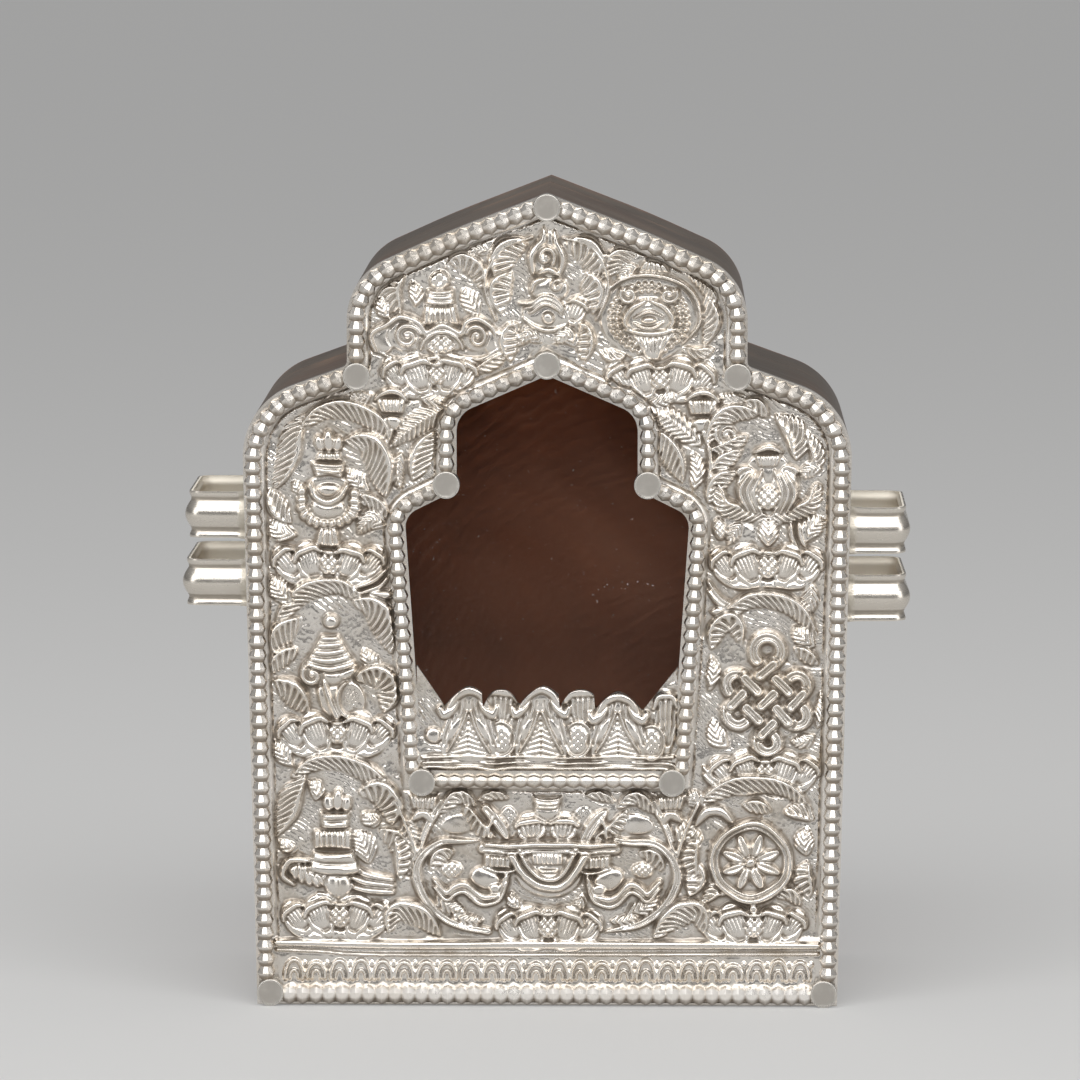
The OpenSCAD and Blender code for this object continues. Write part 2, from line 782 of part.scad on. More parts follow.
module lid_back_plate() {
    color([0.55, 0.34, 0.25]) front_frame() sheet(outline, -case_depth, -case_depth + copper_sheet);
}

// The section of the loops' band: a half-round swell between two lips, from -1/2 to 1/2 of its height
swell_share = 0.5;
lip_share = 0.09;
section_steps = 20;
function band_rise(share) =
    abs(share) < swell_share / 2 ? loop_swell * cos(180 * share / swell_share)
    : abs(share) > 1 / 2 - lip_share ? loop_lip * sin(90 * (abs(share) - 1 / 2 + lip_share) / lip_share)
    : 0;
band_shares = [for (k = [0:section_steps]) k / section_steps - 1 / 2];
band_section = concat(
    [for (share = band_shares) [band_rise(share), share * loop_band]],
    [for (k = [section_steps:-1:0])
        [band_rise(band_shares[k]) - loop_sheet, band_shares[k] * loop_band]]);

// Half the case's width at a height on its straight side
function side_half(height) =
    (base_width + (shoulder_width - base_width) * height / shoulder_height) / 2;

// One strap loop: the band bent into three sides of a rectangle, its two ends on the case wall
module strap_loop(side, height) {
    outer = side_half(loop_height) + loop_reach - loop_swell;
    inner = min(side_half(height - loop_band / 2), side_half(height + loop_band / 2)) - cut;
    front = face_y + loop_setback + loop_swell;
    back = face_y + front_part_depth - loop_margin - loop_swell;
    bend = loop_bend + loop_sheet;
    run = outer - inner - bend;
    color([0.88, 0.85, 0.8]) difference() {
        mirror([side < 0 ? 1 : 0, 0, 0]) translate([0, 0, height]) {
            translate([outer - bend, front, 0]) rotate([90, 0, -90])
                linear_extrude(run) polygon(band_section);
            translate([outer - bend, back, 0]) rotate([90, 0, -90]) mirror([1, 0, 0])
                linear_extrude(run) polygon(band_section);
            translate([outer, back - bend, 0]) rotate([90, 0, 0])
                linear_extrude(back - front - 2 * bend) polygon(band_section);
            translate([outer - bend, front + bend, 0]) rotate([0, 0, -90])
                rotate_extrude(angle = 90, $fn = 48) translate([bend, 0]) polygon(band_section);
            translate([outer - bend, back - bend, 0])
                rotate_extrude(angle = 90, $fn = 48) translate([bend, 0]) polygon(band_section);
        }
        front_frame() sheet(outline, -case_depth, cut);
    }
}
right_height = loop_height - loop_right_drop;

front_plate();
front_rim();
lotus_panel();
outer_wire([base_left, base_right]);  // outer_wire_bottom
outer_wire([base_right, shoulder_right, valley_right]);  // outer_wire_right
outer_wire([valley_right, lobe_right, break_right, tip]);  // outer_wire_top_right
outer_wire([tip, break_left, lobe_left, valley_left]);  // outer_wire_top_left
outer_wire([valley_left, shoulder_left, base_left]);  // outer_wire_left
window_wire([window_foot_left, window_foot_right], foot_wire_d);  // window_wire_foot
window_wire([window_foot_right, window_shoulder_right, window_valley_right], window_wire_d);  // window_wire_right
window_wire([window_valley_right, window_lobe_right, window_tip], window_wire_d);  // window_wire_top_right
window_wire([window_tip, window_lobe_left, window_valley_left], window_wire_d);  // window_wire_top_left
window_wire([window_valley_left, window_shoulder_left, window_foot_left], window_wire_d);  // window_wire_left
outer_stud(tip);  // outer_stud_tip
outer_stud(valley_right);  // outer_stud_valley_right
outer_stud(valley_left);  // outer_stud_valley_left
outer_stud(base_right);  // outer_stud_base_right
outer_stud(base_left);  // outer_stud_base_left
window_stud(window_tip);  // window_stud_tip
window_stud(window_valley_right);  // window_stud_side_right
window_stud(window_valley_left);  // window_stud_side_left
window_stud(window_foot_right);  // window_stud_foot_right
window_stud(window_foot_left);  // window_stud_foot_left
window_glass();
glass_tab([-glass_side_half, glass_side_height], 90 + glass_side_lean);  // glass_tab_left
glass_tab([glass_side_half, glass_side_height], -90 - glass_side_lean);  // glass_tab_right
glass_tab([0, window_foot_height - glass_grow], 180);  // glass_tab_foot
glass_tab([glass_top_x, glass_top_height], -glass_roof_lean);  // glass_tab_top
case_wall();
lid_sleeve();
strap_loop(-1, loop_height);  // strap_loop_left_upper
strap_loop(-1, loop_height - loop_pitch);  // strap_loop_left_lower
strap_loop(1, right_height);  // strap_loop_right_upper
strap_loop(1, right_height - loop_pitch);  // strap_loop_right_lower
lid_wall();
lid_back_plate();
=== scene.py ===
"""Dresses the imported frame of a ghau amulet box: chased silver front, beaded wires, copper case."""

import logging
import math
from dataclasses import dataclass
from enum import Enum
from functools import partial
from typing import Any, Callable, Iterable, Sequence

import bpy
import numpy as np
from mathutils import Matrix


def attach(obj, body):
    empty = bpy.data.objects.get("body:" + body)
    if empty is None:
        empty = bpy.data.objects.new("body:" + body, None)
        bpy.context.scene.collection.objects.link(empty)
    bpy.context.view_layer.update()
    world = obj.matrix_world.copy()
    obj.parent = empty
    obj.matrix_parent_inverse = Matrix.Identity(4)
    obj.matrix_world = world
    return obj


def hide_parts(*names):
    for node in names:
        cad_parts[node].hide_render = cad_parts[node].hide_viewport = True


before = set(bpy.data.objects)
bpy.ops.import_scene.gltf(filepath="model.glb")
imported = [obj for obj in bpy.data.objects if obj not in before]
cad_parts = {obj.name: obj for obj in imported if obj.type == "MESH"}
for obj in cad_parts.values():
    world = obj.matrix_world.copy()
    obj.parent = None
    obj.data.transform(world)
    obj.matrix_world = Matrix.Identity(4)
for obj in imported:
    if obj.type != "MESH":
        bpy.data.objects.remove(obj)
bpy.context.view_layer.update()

LOG = logging.getLogger("ghau")
MM = 0.001
# The front plate's face; heights on the front count from here towards the viewer
FACE_Y = -0.02315

Point = tuple[float, float]
Triple = tuple[float, float, float]
Colour = Triple
Faces = list[list[int]]
Array = np.ndarray
Material = bpy.types.Material


# Sums and nodes


class Signal:
    """One changing number or colour of a node tree, on which sums can be written."""

    def __init__(self, bench: "Bench", socket: Any) -> None:
        """Keeps the socket that gives the value."""
        self.bench = bench
        self.socket = socket

    def sum(self, operation: str, *others: Any) -> "Signal":
        """Puts one Math node behind this value.

        Args:
            operation: The Math node's operation.
            others: The further numbers or signals.

        Returns:
            The node's result.
        """
        return self.bench.signal("ShaderNodeMath", {"operation": operation},
                                 dict(enumerate((self, *others))))

    def __add__(self, other: Any) -> "Signal":
        """Adds."""
        return self.sum("ADD", other)

    def __sub__(self, other: Any) -> "Signal":
        """Subtracts."""
        return self.sum("SUBTRACT", other)

    def __rsub__(self, other: Any) -> "Signal":
        """Subtracts this one from a number."""
        return self.sum("MULTIPLY", -1.0).sum("ADD", other)

    def __mul__(self, other: Any) -> "Signal":
        """Multiplies."""
        return self.sum("MULTIPLY", other)

    def __truediv__(self, other: Any) -> "Signal":
        """Divides."""
        return self.sum("DIVIDE", other)

    def __pow__(self, other: Any) -> "Signal":
        """Raises to a power."""
        return self.sum("POWER", other)

    __radd__ = __add__
    __rmul__ = __mul__

    def between(self, low: float, high: float) -> "Signal":
        """Turns the range from low to high into 0 to 1, with soft ends."""
        return self.bench.signal("ShaderNodeMapRange", {"interpolation_type": "SMOOTHSTEP"},
                                 {"Value": self, "From Min": low, "From Max": high})

    def most(self, other: Any) -> "Signal":
        """Gives the larger of two values."""
        return self.sum("MAXIMUM", other)


class Bench:
    """A node tree, with short ways to add its nodes."""

    def __init__(self, tree: bpy.types.NodeTree) -> None:
        """Keeps the tree, and clears it."""
        self.tree = tree
        tree.nodes.clear()

    def node(self, kind: str, settings: dict[str, Any] | None = None,
             sockets: dict[Any, Any] | None = None) -> Any:
        """Adds one node.

        Args:
            kind: The node's type.
            settings: Its own settings, set first.
            sockets: Values, signals or sockets for its inputs, by name or number.

        Returns:
            The node.
        """
        node = self.tree.nodes.new(kind)
        for key, value in (settings or {}).items():
            setattr(node, key, value)
        for key, value in (sockets or {}).items():
            value = value.socket if isinstance(value, Signal) else value
            if isinstance(value, bpy.types.NodeSocket):
                self.tree.links.new(value, node.inputs[key])
            else:
                node.inputs[key].default_value = value
        return node

    def signal(self, kind: str, settings: dict[str, Any] | None = None,
               sockets: dict[Any, Any] | None = None, output: Any = 0) -> Signal:
        """Adds one node, as node does, and gives one of its outputs."""
        return Signal(self, self.node(kind, settings, sockets).outputs[output])


class Finish(Bench):
    """The node tree of one material round a Principled shader."""

    def __init__(self, name: str) -> None:
        """Makes the material and its shader."""
        self.material = bpy.data.materials.new(name)
        self.material.use_nodes = True
        super().__init__(self.material.node_tree)
        self.shader = self.node("ShaderNodeBsdfPrincipled")
        self.out = self.node("ShaderNodeOutputMaterial", None, {"Surface": self.shader.outputs[0]})

    def place(self) -> Signal:
        """Gives the object's own coordinates."""
        return self.signal("ShaderNodeTexCoord", output="Object")

    def noise(self, scale: float, detail: float = 3.0, stretch: Sequence[float] = (1, 1, 1),
              distortion: float = 0.0) -> Signal:
        """Gives a cloud pattern.

        Args:
            scale: Clouds per metre.
            detail: How many finer layers it has.
            stretch: How the pattern is stretched along each axis.
            distortion: How much it is stirred.

        Returns:
            The pattern, about 0 to 1.
        """
        place = self.signal("ShaderNodeMapping", None, {"Vector": self.place(), "Scale": stretch})
        return self.signal("ShaderNodeTexNoise", None,
                           {"Vector": place, "Scale": scale, "Detail": detail,
                            "Distortion": distortion})

    def attribute(self, name: str) -> Signal:
        """Gives a number stored on the mesh."""
        return self.signal("ShaderNodeAttribute", {"attribute_name": name}, output="Fac")

    def blend(self, share: Any, first: Any, second: Any) -> Signal:
        """Mixes two colours.

        Args:
            share: How much of the second colour shows.
            first: The first colour, or a signal.
            second: The second colour, or a signal.

        Returns:
            The mixed colour.
        """
        colours = [c if isinstance(c, Signal) else (*c, 1) for c in (first, second)]
        return self.signal("ShaderNodeMix", {"data_type": "RGBA"},
                           {0: share, 6: colours[0], 7: colours[1]}, 2)

    def bump(self, height: Signal, depth: float, strength: float) -> Signal:
        """Turns a height into a bent normal.

        Args:
            height: The height pattern.
            depth: What a height of 1 is, in metres.
            strength: How much of it shows.

        Returns:
            The normal.
        """
        return self.signal("ShaderNodeBump", None,
                           {"Height": height, "Distance": depth, "Strength": strength})

    def finish(self, **sockets: Any) -> Material:
        """Sets the shader's sockets and gives the material.

        Args:
            sockets: Values or signals by socket name, with _ for a space.

        Returns:
            The finished material.
        """
        for key, value in sockets.items():
            socket = self.shader.inputs[key.replace("_", " ")]
            if isinstance(value, Signal):
                self.tree.links.new(value.socket, socket)
            else:
                socket.default_value = (*value, 1) if socket.type == "RGBA" else value
        return self.material


# Finishes


@dataclass(frozen=True)
class ChasedSilver:
    """Worked silver: bright where its mark is low, brown-grey tarnish in the hollows and painted shade
    where forms face down.
    """

    name: str = "chased_silver"
    bright: Colour = (0.80, 0.757, 0.705)
    warm: Colour = (0.66, 0.59, 0.50)
    tarnish_and_painted_shade: Colour = (0.30, 0.25, 0.20)
    roughness: float = 0.24
    grain: float = 1400.0
    grain_depth: float = 0.00005
    painted_shade_tarnish_from: float = 0.08
    painted_shade_tarnish_to: float = 1.0

    def make(self) -> Material:
        """Builds the material.

        Returns:
            The material, which reads the attribute "recess" of its mesh: tarnish in the hollows and
            painted shade where forms face down.
        """
        b = Finish(self.name)
        cloud = b.noise(90, 4, distortion=0.6)
        fine = b.noise(self.grain, 3)
        recess = (b.attribute("recess") + (cloud - 0.5) * 0.22).between(self.painted_shade_tarnish_from,
                                                                        self.painted_shade_tarnish_to)
        silver = b.blend(cloud.between(0.4, 0.78) * 0.7, self.bright, self.warm)
        # The dark colour is tarnish in the hollows and painted shade where forms face down
        colour = b.blend(recess, silver, self.tarnish_and_painted_shade)
        rough = self.roughness + recess * 0.2 + (fine - 0.5) * 0.16 + (cloud - 0.5) * 0.12
        normal = b.bump(fine, self.grain_depth, 0.5)
        return b.finish(Base_Color=colour, Metallic=1.0 - recess * 0.5, Roughness=rough,
                        Normal=normal)


@dataclass(frozen=True)
class MatteSilver:
    """Flat grey silver of the studs, brushed faintly across."""

    name: str = "matte_silver"
    face: Colour = (0.50, 0.47, 0.43)
    worn: Colour = (0.66, 0.63, 0.58)
    roughness: float = 0.46

    def make(self) -> Material:
        """Builds the material."""
        b = Finish(self.name)
        cloud = b.noise(420, 4)
        lines = b.noise(900, 2, (6, 6, 0.5))
        rim = b.attribute("recess")
        colour = b.blend(cloud.between(0.45, 0.75) * 0.5, self.face, self.worn)
        colour = b.blend(rim * 0.6, colour, (0.74, 0.71, 0.66))
        rough = self.roughness + (lines - 0.5) * 0.2 - rim * 0.2
        return b.finish(Base_Color=colour, Metallic=0.9, Roughness=rough,
                        Normal=b.bump(lines * 0.6 + cloud * 0.4, 0.00004, 0.5))


@dataclass(frozen=True)
class LoopSilver:
    """Satin silver of the strap loops, cream and dull inside, rough with solder at the roots, tarnished
    in the grooves, with painted shade under the swell.
    """

    name: str = "loop_silver"
    bright: Colour = (0.73, 0.68, 0.61)
    # Dark tone of the grooves' tarnish, also painted as shade on the swell's lower half
    groove: Colour = (0.30, 0.26, 0.21)
    solder: Colour = (0.66, 0.61, 0.52)
    cream: Colour = (0.98, 0.92, 0.80)

    def make(self) -> Material:
        """Builds the material, which reads "recess", "solder" and "inside"."""
        b = Finish(self.name)
        cloud = b.noise(150, 4, distortion=0.4)
        pits = b.noise(1500, 4)
        scratches = b.noise(260, 3, (1, 1, 9))
        recess = (b.attribute("recess") + (cloud - 0.5) * 0.3).between(0.3, 0.9)
        solder = (b.attribute("solder") + (pits - 0.5) * 0.5).between(0.35, 0.7)
        # The groove colour is tarnish in the grooves and painted shade on the swell's lower half
        colour = b.blend(recess * 0.75, self.bright, self.groove)
        colour = b.blend(solder * 0.8, colour, self.solder)
        inside = b.attribute("inside").between(0.4, 0.6)
        colour = b.blend(inside, colour, b.blend(cloud.between(0.5, 0.9) * 0.2, self.cream, self.solder))
        rough = 0.27 + recess * 0.18 + solder * 0.2 + (scratches - 0.5) * 0.14 + inside * 0.34
        height = pits * (0.12 + solder * 0.9) + scratches * 0.15
        return b.finish(Base_Color=colour, Metallic=1.0 - solder * 0.3 - recess * 0.2 - inside * 0.8,
                        Roughness=rough, Normal=b.bump(height, 0.0002, 0.6))


@dataclass(frozen=True)
class AgedCopper:
    """Copper gone dull brown-grey, drawn with fine lines and worn orange on its raw edges."""

    name: str = "aged_copper"
    brown: Colour = (0.150, 0.112, 0.085)
    grey: Colour = (0.225, 0.180, 0.145)
    red: Colour = (0.26, 0.105, 0.052)
    raw: Colour = (0.62, 0.30, 0.15)
    line_scale: float = 60.0
    stretch: Triple = (1.0, 14.0, 1.0)
    roughness: float = 0.42

    def make(self) -> Material:
        """Builds the material, which reads "edge" for worn edges."""
        b = Finish(self.name)
        cloud = b.noise(38, 5, distortion=1.0)
        stain = b.noise(14, 4, distortion=1.8)
        lines = b.noise(self.line_scale, 4, self.stretch)
        specks = b.noise(900, 2)
        edge = (b.attribute("edge") + (cloud - 0.5) * 0.6).between(0.45, 0.95)
        colour = b.blend(cloud.between(0.35, 0.7), self.brown, self.grey)
        colour = b.blend(stain.between(0.45, 0.72) * 0.35, colour, self.red)
        colour = b.blend(specks.between(0.62, 0.72) * 0.35, colour, (0.34, 0.29, 0.24))
        colour = b.blend(edge * 0.85, colour, self.raw)
        rough = self.roughness + (cloud - 0.5) * 0.3 + (lines - 0.5) * 0.2 - edge * 0.1
        height = lines * 0.5 + cloud * 0.6 + specks * 0.12
        return b.finish(Base_Color=colour, Metallic=0.82, Roughness=rough,
                        Normal=b.bump(height, 0.0004, 0.35))


@dataclass(frozen=True)
class LidCopper:
    """The lid's plate: red-brown copper with cloudy stains and arcs from the brush, and painted light
    that makes its lower part paler.
    """

    name: str = "lid_copper"
    deep: Colour = (0.15, 0.040, 0.016)
    red: Colour = (0.33, 0.096, 0.042)
    pale: Colour = (0.44, 0.18, 0.11)
    # Painted light: the pale colour of the plate's lower part
    foot: Colour = (0.72, 0.33, 0.22)
    arc_centre: Triple = (0.045, 0.0, 0.015)
    roughness: float = 0.40

    def make(self) -> Material:
        """Builds the material."""
        b = Finish(self.name)
        shifted = b.signal("ShaderNodeMapping", None,
                           {"Vector": b.place(), "Location": tuple(-v for v in self.arc_centre),
                            "Scale": (1, 0, 1)})
        arcs = b.signal("ShaderNodeTexWave", {"wave_type": "RINGS", "rings_direction": "SPHERICAL"},
                        {"Vector": shifted, "Scale": 130.0, "Distortion": 5.0, "Detail": 4.0,
                         "Detail Scale": 2.0}, "Fac")
        cloud = b.noise(26, 5, distortion=1.4)
        stain = b.noise(11, 3, distortion=2.0)
        dust = b.noise(1300, 2)
        brushed = arcs.between(0.55, 0.95) * cloud.between(0.45, 0.7)
        colour = b.blend(cloud.between(0.3, 0.72), self.deep, self.red)
        colour = b.blend(stain.between(0.56, 0.7) * 0.3, colour, self.pale)
        colour = b.blend(brushed * 0.35, colour, self.pale)
        # Painted light: the plate turns paler towards its bottom, standing in for light through the
        # window
        height = b.signal("ShaderNodeSeparateXYZ", None, {"Vector": b.place()}, 2)
        foot = 1.0 - (height + (stain - 0.5) * 0.06 + (cloud - 0.5) * 0.02).between(0.046, 0.1)
        colour = b.blend(foot * (0.55 + cloud * 0.5), colour, self.foot)
        colour = b.blend(dust.between(0.7, 0.76) * 0.5, colour, (0.5, 0.4, 0.33))
        rough = self.roughness + (cloud - 0.5) * 0.35 - brushed * 0.12
        return b.finish(Base_Color=colour, Metallic=0.5, Roughness=rough, Specular_IOR_Level=0.0,
                        Normal=b.bump(arcs * 0.3 + cloud, 0.0003, 0.3))


@dataclass(frozen=True)
class ClearGlass:
    """The old flat pane: clear, faintly dusty."""

    name: str = "clear_glass"
    tint: Colour = (0.93, 0.94, 0.93)
    gloss: float = 0.05
    ior: float = 1.45

    def make(self) -> Material:
        """Builds the material: see-through, with the gloss that its angle gives."""
        b = Finish(self.name)
        cloud = b.noise(45, 4, distortion=1.0)
        dust = b.noise(1600, 1)
        specks = dust.between(0.75, 0.77) * cloud.between(0.45, 0.7)
        clear = b.signal("ShaderNodeBsdfTransparent", None, {"Color": (*self.tint, 1)})
        share = b.signal("ShaderNodeFresnel", None, {"IOR": self.ior}) * 0.1 + specks * 0.35
        mix = b.node("ShaderNodeMixShader", None, {0: share, 1: clear, 2: b.shader.outputs[0]})
        b.tree.links.new(mix.outputs[0], b.out.inputs["Surface"])
        return b.finish(Base_Color=(0.8, 0.8, 0.79), Metallic=0.0,
                        Roughness=self.gloss + specks * 0.6, IOR=self.ior)


@dataclass(frozen=True)
class FloorPaper:
    """The pale studio floor."""

    name: str = "floor_paper"
    colour: Colour = (0.42, 0.417, 0.41)
    glow: float = 0.19

    def make(self) -> Material:
        """Builds the material."""
        b = Finish(self.name)
        rays = [b.signal("ShaderNodeLightPath", output=f"Is {kind} Ray")
                for kind in ("Camera", "Glossy", "Transmission")]
        seen = rays[0].most(rays[1]).most(rays[2])
        glow = b.blend(seen, (0, 0, 0), (self.glow, self.glow, self.glow))
        return b.finish(Base_Color=self.colour, Roughness=0.85, Emission_Color=glow,
                        Emission_Strength=1.0)


# Meshes


def stand(name: str, data: bpy.types.ID) -> bpy.types.Object:
    """Puts a mesh, a lamp or a camera into the scene, as an object of that name."""
    obj = bpy.data.objects.new(name, data)
    bpy.context.scene.collection.objects.link(obj)
    return obj


def put(name: str, verts: Array, faces: Faces, material: Material,
        marks: dict[str, Array] | None = None, angle: float = 40.0) -> bpy.types.Object:
    """Makes one object at the origin from points in millimetres.

    Args:
        name: The piece's name.
        verts: Points as [x, y, z] in millimetres, in the frame's own place.
        faces: Faces as lists of point numbers.
        material: Its finish.
        marks: Numbers kept for each point, by name.
        angle: Edges sharper than this many degrees stay crisp.

    Returns:
        The object, in the scene.
    """
    mesh = bpy.data.meshes.new(name)
    mesh.from_pydata((np.asarray(verts, float) * MM).tolist(), [], faces)
    mesh.materials.append(material)
    mesh.shade_smooth()
    for key, values in (marks or {}).items():
        store(mesh, key, values)
    if angle < 180:
        mesh.set_sharp_from_angle(angle=math.radians(angle))
    mesh.validate()
    return stand(name, mesh)


def store(mesh: bpy.types.Mesh, name: str, values: Array) -> None:
    """Keeps one number for each point of a mesh."""
    layer = mesh.attributes.get(name) or mesh.attributes.new(name, "FLOAT", "POINT")
    layer.data.foreach_set("value", np.asarray(values, np.float32))


def seat(obj: bpy.types.Object, node: str, body: str = "case") -> None:
    """Hands a finished piece to the frame.

    Args:
        obj: The piece.
        node: The CAD node that it stands for.
        body: The body that it moves with.
    """
    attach(obj, body)
    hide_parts(node)
    LOG.info("%s: %d faces", obj.name, len(obj.data.polygons))


def dress(node: str, material: Material) -> None:
    """Gives a CAD node that stays its better finish."""
    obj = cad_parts[node]
    obj.data.materials.clear()
    obj.data.materials.append(material)
    LOG.info("%s: kept, with finish %s", node, material.name)


def on_face(points: Array, heights: Array | float) -> Array:
    """Lays flat points on the front at heights towards the viewer.

    Args:
        points: Points as [x, z] in millimetres.
        heights: Their heights above the plate's face in millimetres.

    Returns:
        Points as [x, y, z] in millimetres.
    """
    heights = np.broadcast_to(heights, len(points))
    return np.column_stack([points[:, 0], FACE_Y / MM - heights, points[:, 1]])


# Outlines

# Largest turn between two points of a rounded corner, in degrees
ARC_STEP = 3.0
# Share of the shorter edge beside a corner that its round may use
CORNER_SHARE = 0.49


@dataclass(frozen=True)
class Corner:
    """One corner of an outline: its place and the radius that rounds it, in millimetres."""

    x: float
    z: float
    radius: float = 0.0


def turned(way: Array, angle: float) -> Array:
    """Turns a flat vector by an angle in radians."""
    c, s = math.cos(angle), math.sin(angle)
    return np.array([way[0] * c - way[1] * s, way[0] * s + way[1] * c])


def rounded_line(corners: Sequence[Corner], closed: bool) -> Array:
    """Rounds the corners of a line.

    Args:
        corners: The corners in order.
        closed: Whether the last runs on to the first.

    Returns:
        Points as [x, z].
    """
    out: list[Array] = []
    count = len(corners)
    for i, corner in enumerate(corners):
        here = np.array([corner.x, corner.z])
        if corner.radius == 0 or (not closed and i in (0, count - 1)):
            out.append(here)
            continue
        before, after = corners[i - 1], corners[(i + 1) % count]
        way_in = here - (before.x, before.z)
        way_out = np.array([after.x, after.z]) - here
        room = min(np.linalg.norm(way_in), np.linalg.norm(way_out)) * CORNER_SHARE
        way_in, way_out = way_in / np.linalg.norm(way_in), way_out / np.linalg.norm(way_out)
        turn = math.atan2(way_in[0] * way_out[1] - way_in[1] * way_out[0], way_in @ way_out)
        tangent = min(corner.radius * math.tan(abs(turn) / 2), room)
        radius = tangent / math.tan(abs(turn) / 2)
        to_centre = np.array([-way_in[1], way_in[0]]) * math.copysign(radius, turn)
        centre = here - way_in * tangent + to_centre
        steps = max(2, math.ceil(abs(math.degrees(turn)) / ARC_STEP))
        out += [centre + turned(-to_centre, turn * k / steps) for k in range(steps + 1)]
    return np.array(out)


def moved_in(points: Array, inset: float) -> Array:
    """Moves a closed anticlockwise outline in by a distance, or out where it is negative."""
    before = points - np.roll(points, 1, axis=0)
    after = np.roll(points, -1, axis=0) - points
    before = before / np.linalg.norm(before, axis=1)[:, None]
    after = after / np.linalg.norm(after, axis=1)[:, None]
    side = np.column_stack([-(before + after)[:, 1], (before + after)[:, 0]])
    return points + inset * side / (1 + (before * after).sum(axis=1))[:, None]


def inset_corners(corners: Sequence[Corner], inset: float) -> list[Corner]:
    """Moves corners in and keeps their rounds concentric."""
    flat = np.array([(c.x, c.z) for c in corners])
    moved = moved_in(flat, inset)
    out = []
    for i, corner in enumerate(corners):
        way_in, way_out = flat[i] - flat[i - 1], flat[(i + 1) % len(flat)] - flat[i]
        side = math.copysign(1, way_in[0] * way_out[1] - way_in[1] * way_out[0])
        out.append(Corner(*moved[i], corner.radius - side * inset if corner.radius else 0.0))
    return out


def both_halves(half: Sequence[Corner]) -> list[Corner]:
    """Completes an outline from the corners of its right half, base to tip."""
    return [*half, *(Corner(-c.x, c.z, c.radius) for c in half[-2::-1])]


def spread_evenly(points: Array, spacing: float, closed: bool) -> Array:
    """Puts further points on the long edges of a line.

    Args:
        points: Points of any width.
        spacing: Longest edge that stays.
        closed: Whether the last point runs on to the first.

    Returns:
        The denser line.
    """
    out: list[Array] = []
    count = len(points)
    for i in range(count if closed else count - 1):
        a, b = points[i], points[(i + 1) % count]
        steps = max(1, math.ceil(np.linalg.norm(b - a) / spacing))
        out += [a + (b - a) * k / steps for k in range(steps)]
    if not closed:
        out.append(points[-1])
    return np.array(out)


@dataclass
class BoxShape:
    """The stepped, pointed outline and the window's line, in millimetres."""

    base_half: float = 53.5
    shoulder_half: float = 55.8
    shoulder_height: float = 111.5
    shoulder_radius: float = 19.2
    lobe_half: float = 36.5
    valley_height: float = 118.5
    lobe_height: float = 134.7
    lobe_radius: float = 12.9
    height: float = 150.0
    window_base_half: float = 24.6
    window_foot: float = 41.8
    window_half: float = 28.0
    window_shoulder: float = 92.0
    window_lobe_half: float = 18.4
    window_valley: float = 96.8
    window_lobe: float = 110.7
    window_tip: float = 118.7
    wire_inset: float = 1.8
    opening_inset: float = 1.85

    def __post_init__(self) -> None:
        """Works out the corner lists and the rounded lines."""
        self.corners = both_halves([
            Corner(self.base_half, 0.0),
            Corner(self.shoulder_half, self.shoulder_height, self.shoulder_radius),
            Corner(self.lobe_half, self.valley_height, 1.2),
            Corner(self.lobe_half, self.lobe_height, self.lobe_radius),
            Corner(self.lobe_half / 2, (self.lobe_height + self.height) / 2 + 0.6,
                   4 * self.lobe_half),
            Corner(0.0, self.height)])
        self.window_corners = both_halves([
            Corner(self.window_base_half, self.window_foot),
            Corner(self.window_half, self.window_shoulder, 5.5),
            Corner(self.window_lobe_half, self.window_valley),
            Corner(self.window_lobe_half, self.window_lobe, 6.5),
            Corner(0.0, self.window_tip)])
        self.outline = rounded_line(self.corners, True)
        self.window_line = rounded_line(self.window_corners, True)
        self.wire_corners = inset_corners(self.corners, self.wire_inset)

    def side_half(self, height: float) -> float:
        """Half the case's width at a height on its straight side."""
        return self.base_half + (self.shoulder_half - self.base_half) * height / self.shoulder_height


def tube(rings: int, around: int, looped: bool = False, flipped: bool = False) -> Faces:
    """Joins rings of points to a closed surface.

    Args:
        rings: How many rings there are, the rear one first.
        around: How many points each has, anticlockwise seen from the front.
        looped: Whether the last ring runs on to the first; else both ends are closed flat.
        flipped: Whether the faces are turned over.

    Returns:
        The faces, which point out.
    """
    faces = []
    for k in range(rings if looped else rings - 1):
        a, b = k * around, (k + 1) % rings * around
        faces += [[a + (i + 1) % around, b + (i + 1) % around, b + i, a + i] for i in range(around)]
    if not looped:
        faces.append(list(range((rings - 1) * around, rings * around)))
        faces.append(list(range(around - 1, -1, -1)))
    return [face[::-1] for face in faces] if flipped else faces


def band(points: Array, thickness: float, low: float, high: float) -> tuple[Array, Faces]:
    """Builds a closed band of sheet on edge that follows a closed outline.

    Args:
        points: The outer outline as [x, z].
        thickness: The sheet's thickness, inwards.
        low: The lower height on the front's scale, towards the viewer.
        high: The higher height.

    Returns:
        Points in millimetres, and faces.
    """
    inner = moved_in(points, thickness)
    verts = np.vstack([on_face(points, high), on_face(inner, high),
                       on_face(inner, low), on_face(points, low)])
    return verts, tube(4, len(points), looped=True)


# Beaded wires


class Stop(Enum):
    """The studs that the wires run between, by their number in the corner lists."""

    BASE_RIGHT = 0
    VALLEY_RIGHT = 2
    TIP = 5
    VALLEY_LEFT = 8
    BASE_LEFT = 10
    WINDOW_FOOT_RIGHT = 20
    WINDOW_SIDE_RIGHT = 22
    WINDOW_TIP = 24
    WINDOW_SIDE_LEFT = 26
    WINDOW_FOOT_LEFT = 28

    @property
    def node(self) -> str:
        """The CAD node of the stud."""
        name = self.name.lower()
        return name.replace("window_", "window_stud_") if "window" in name else "outer_stud_" + name


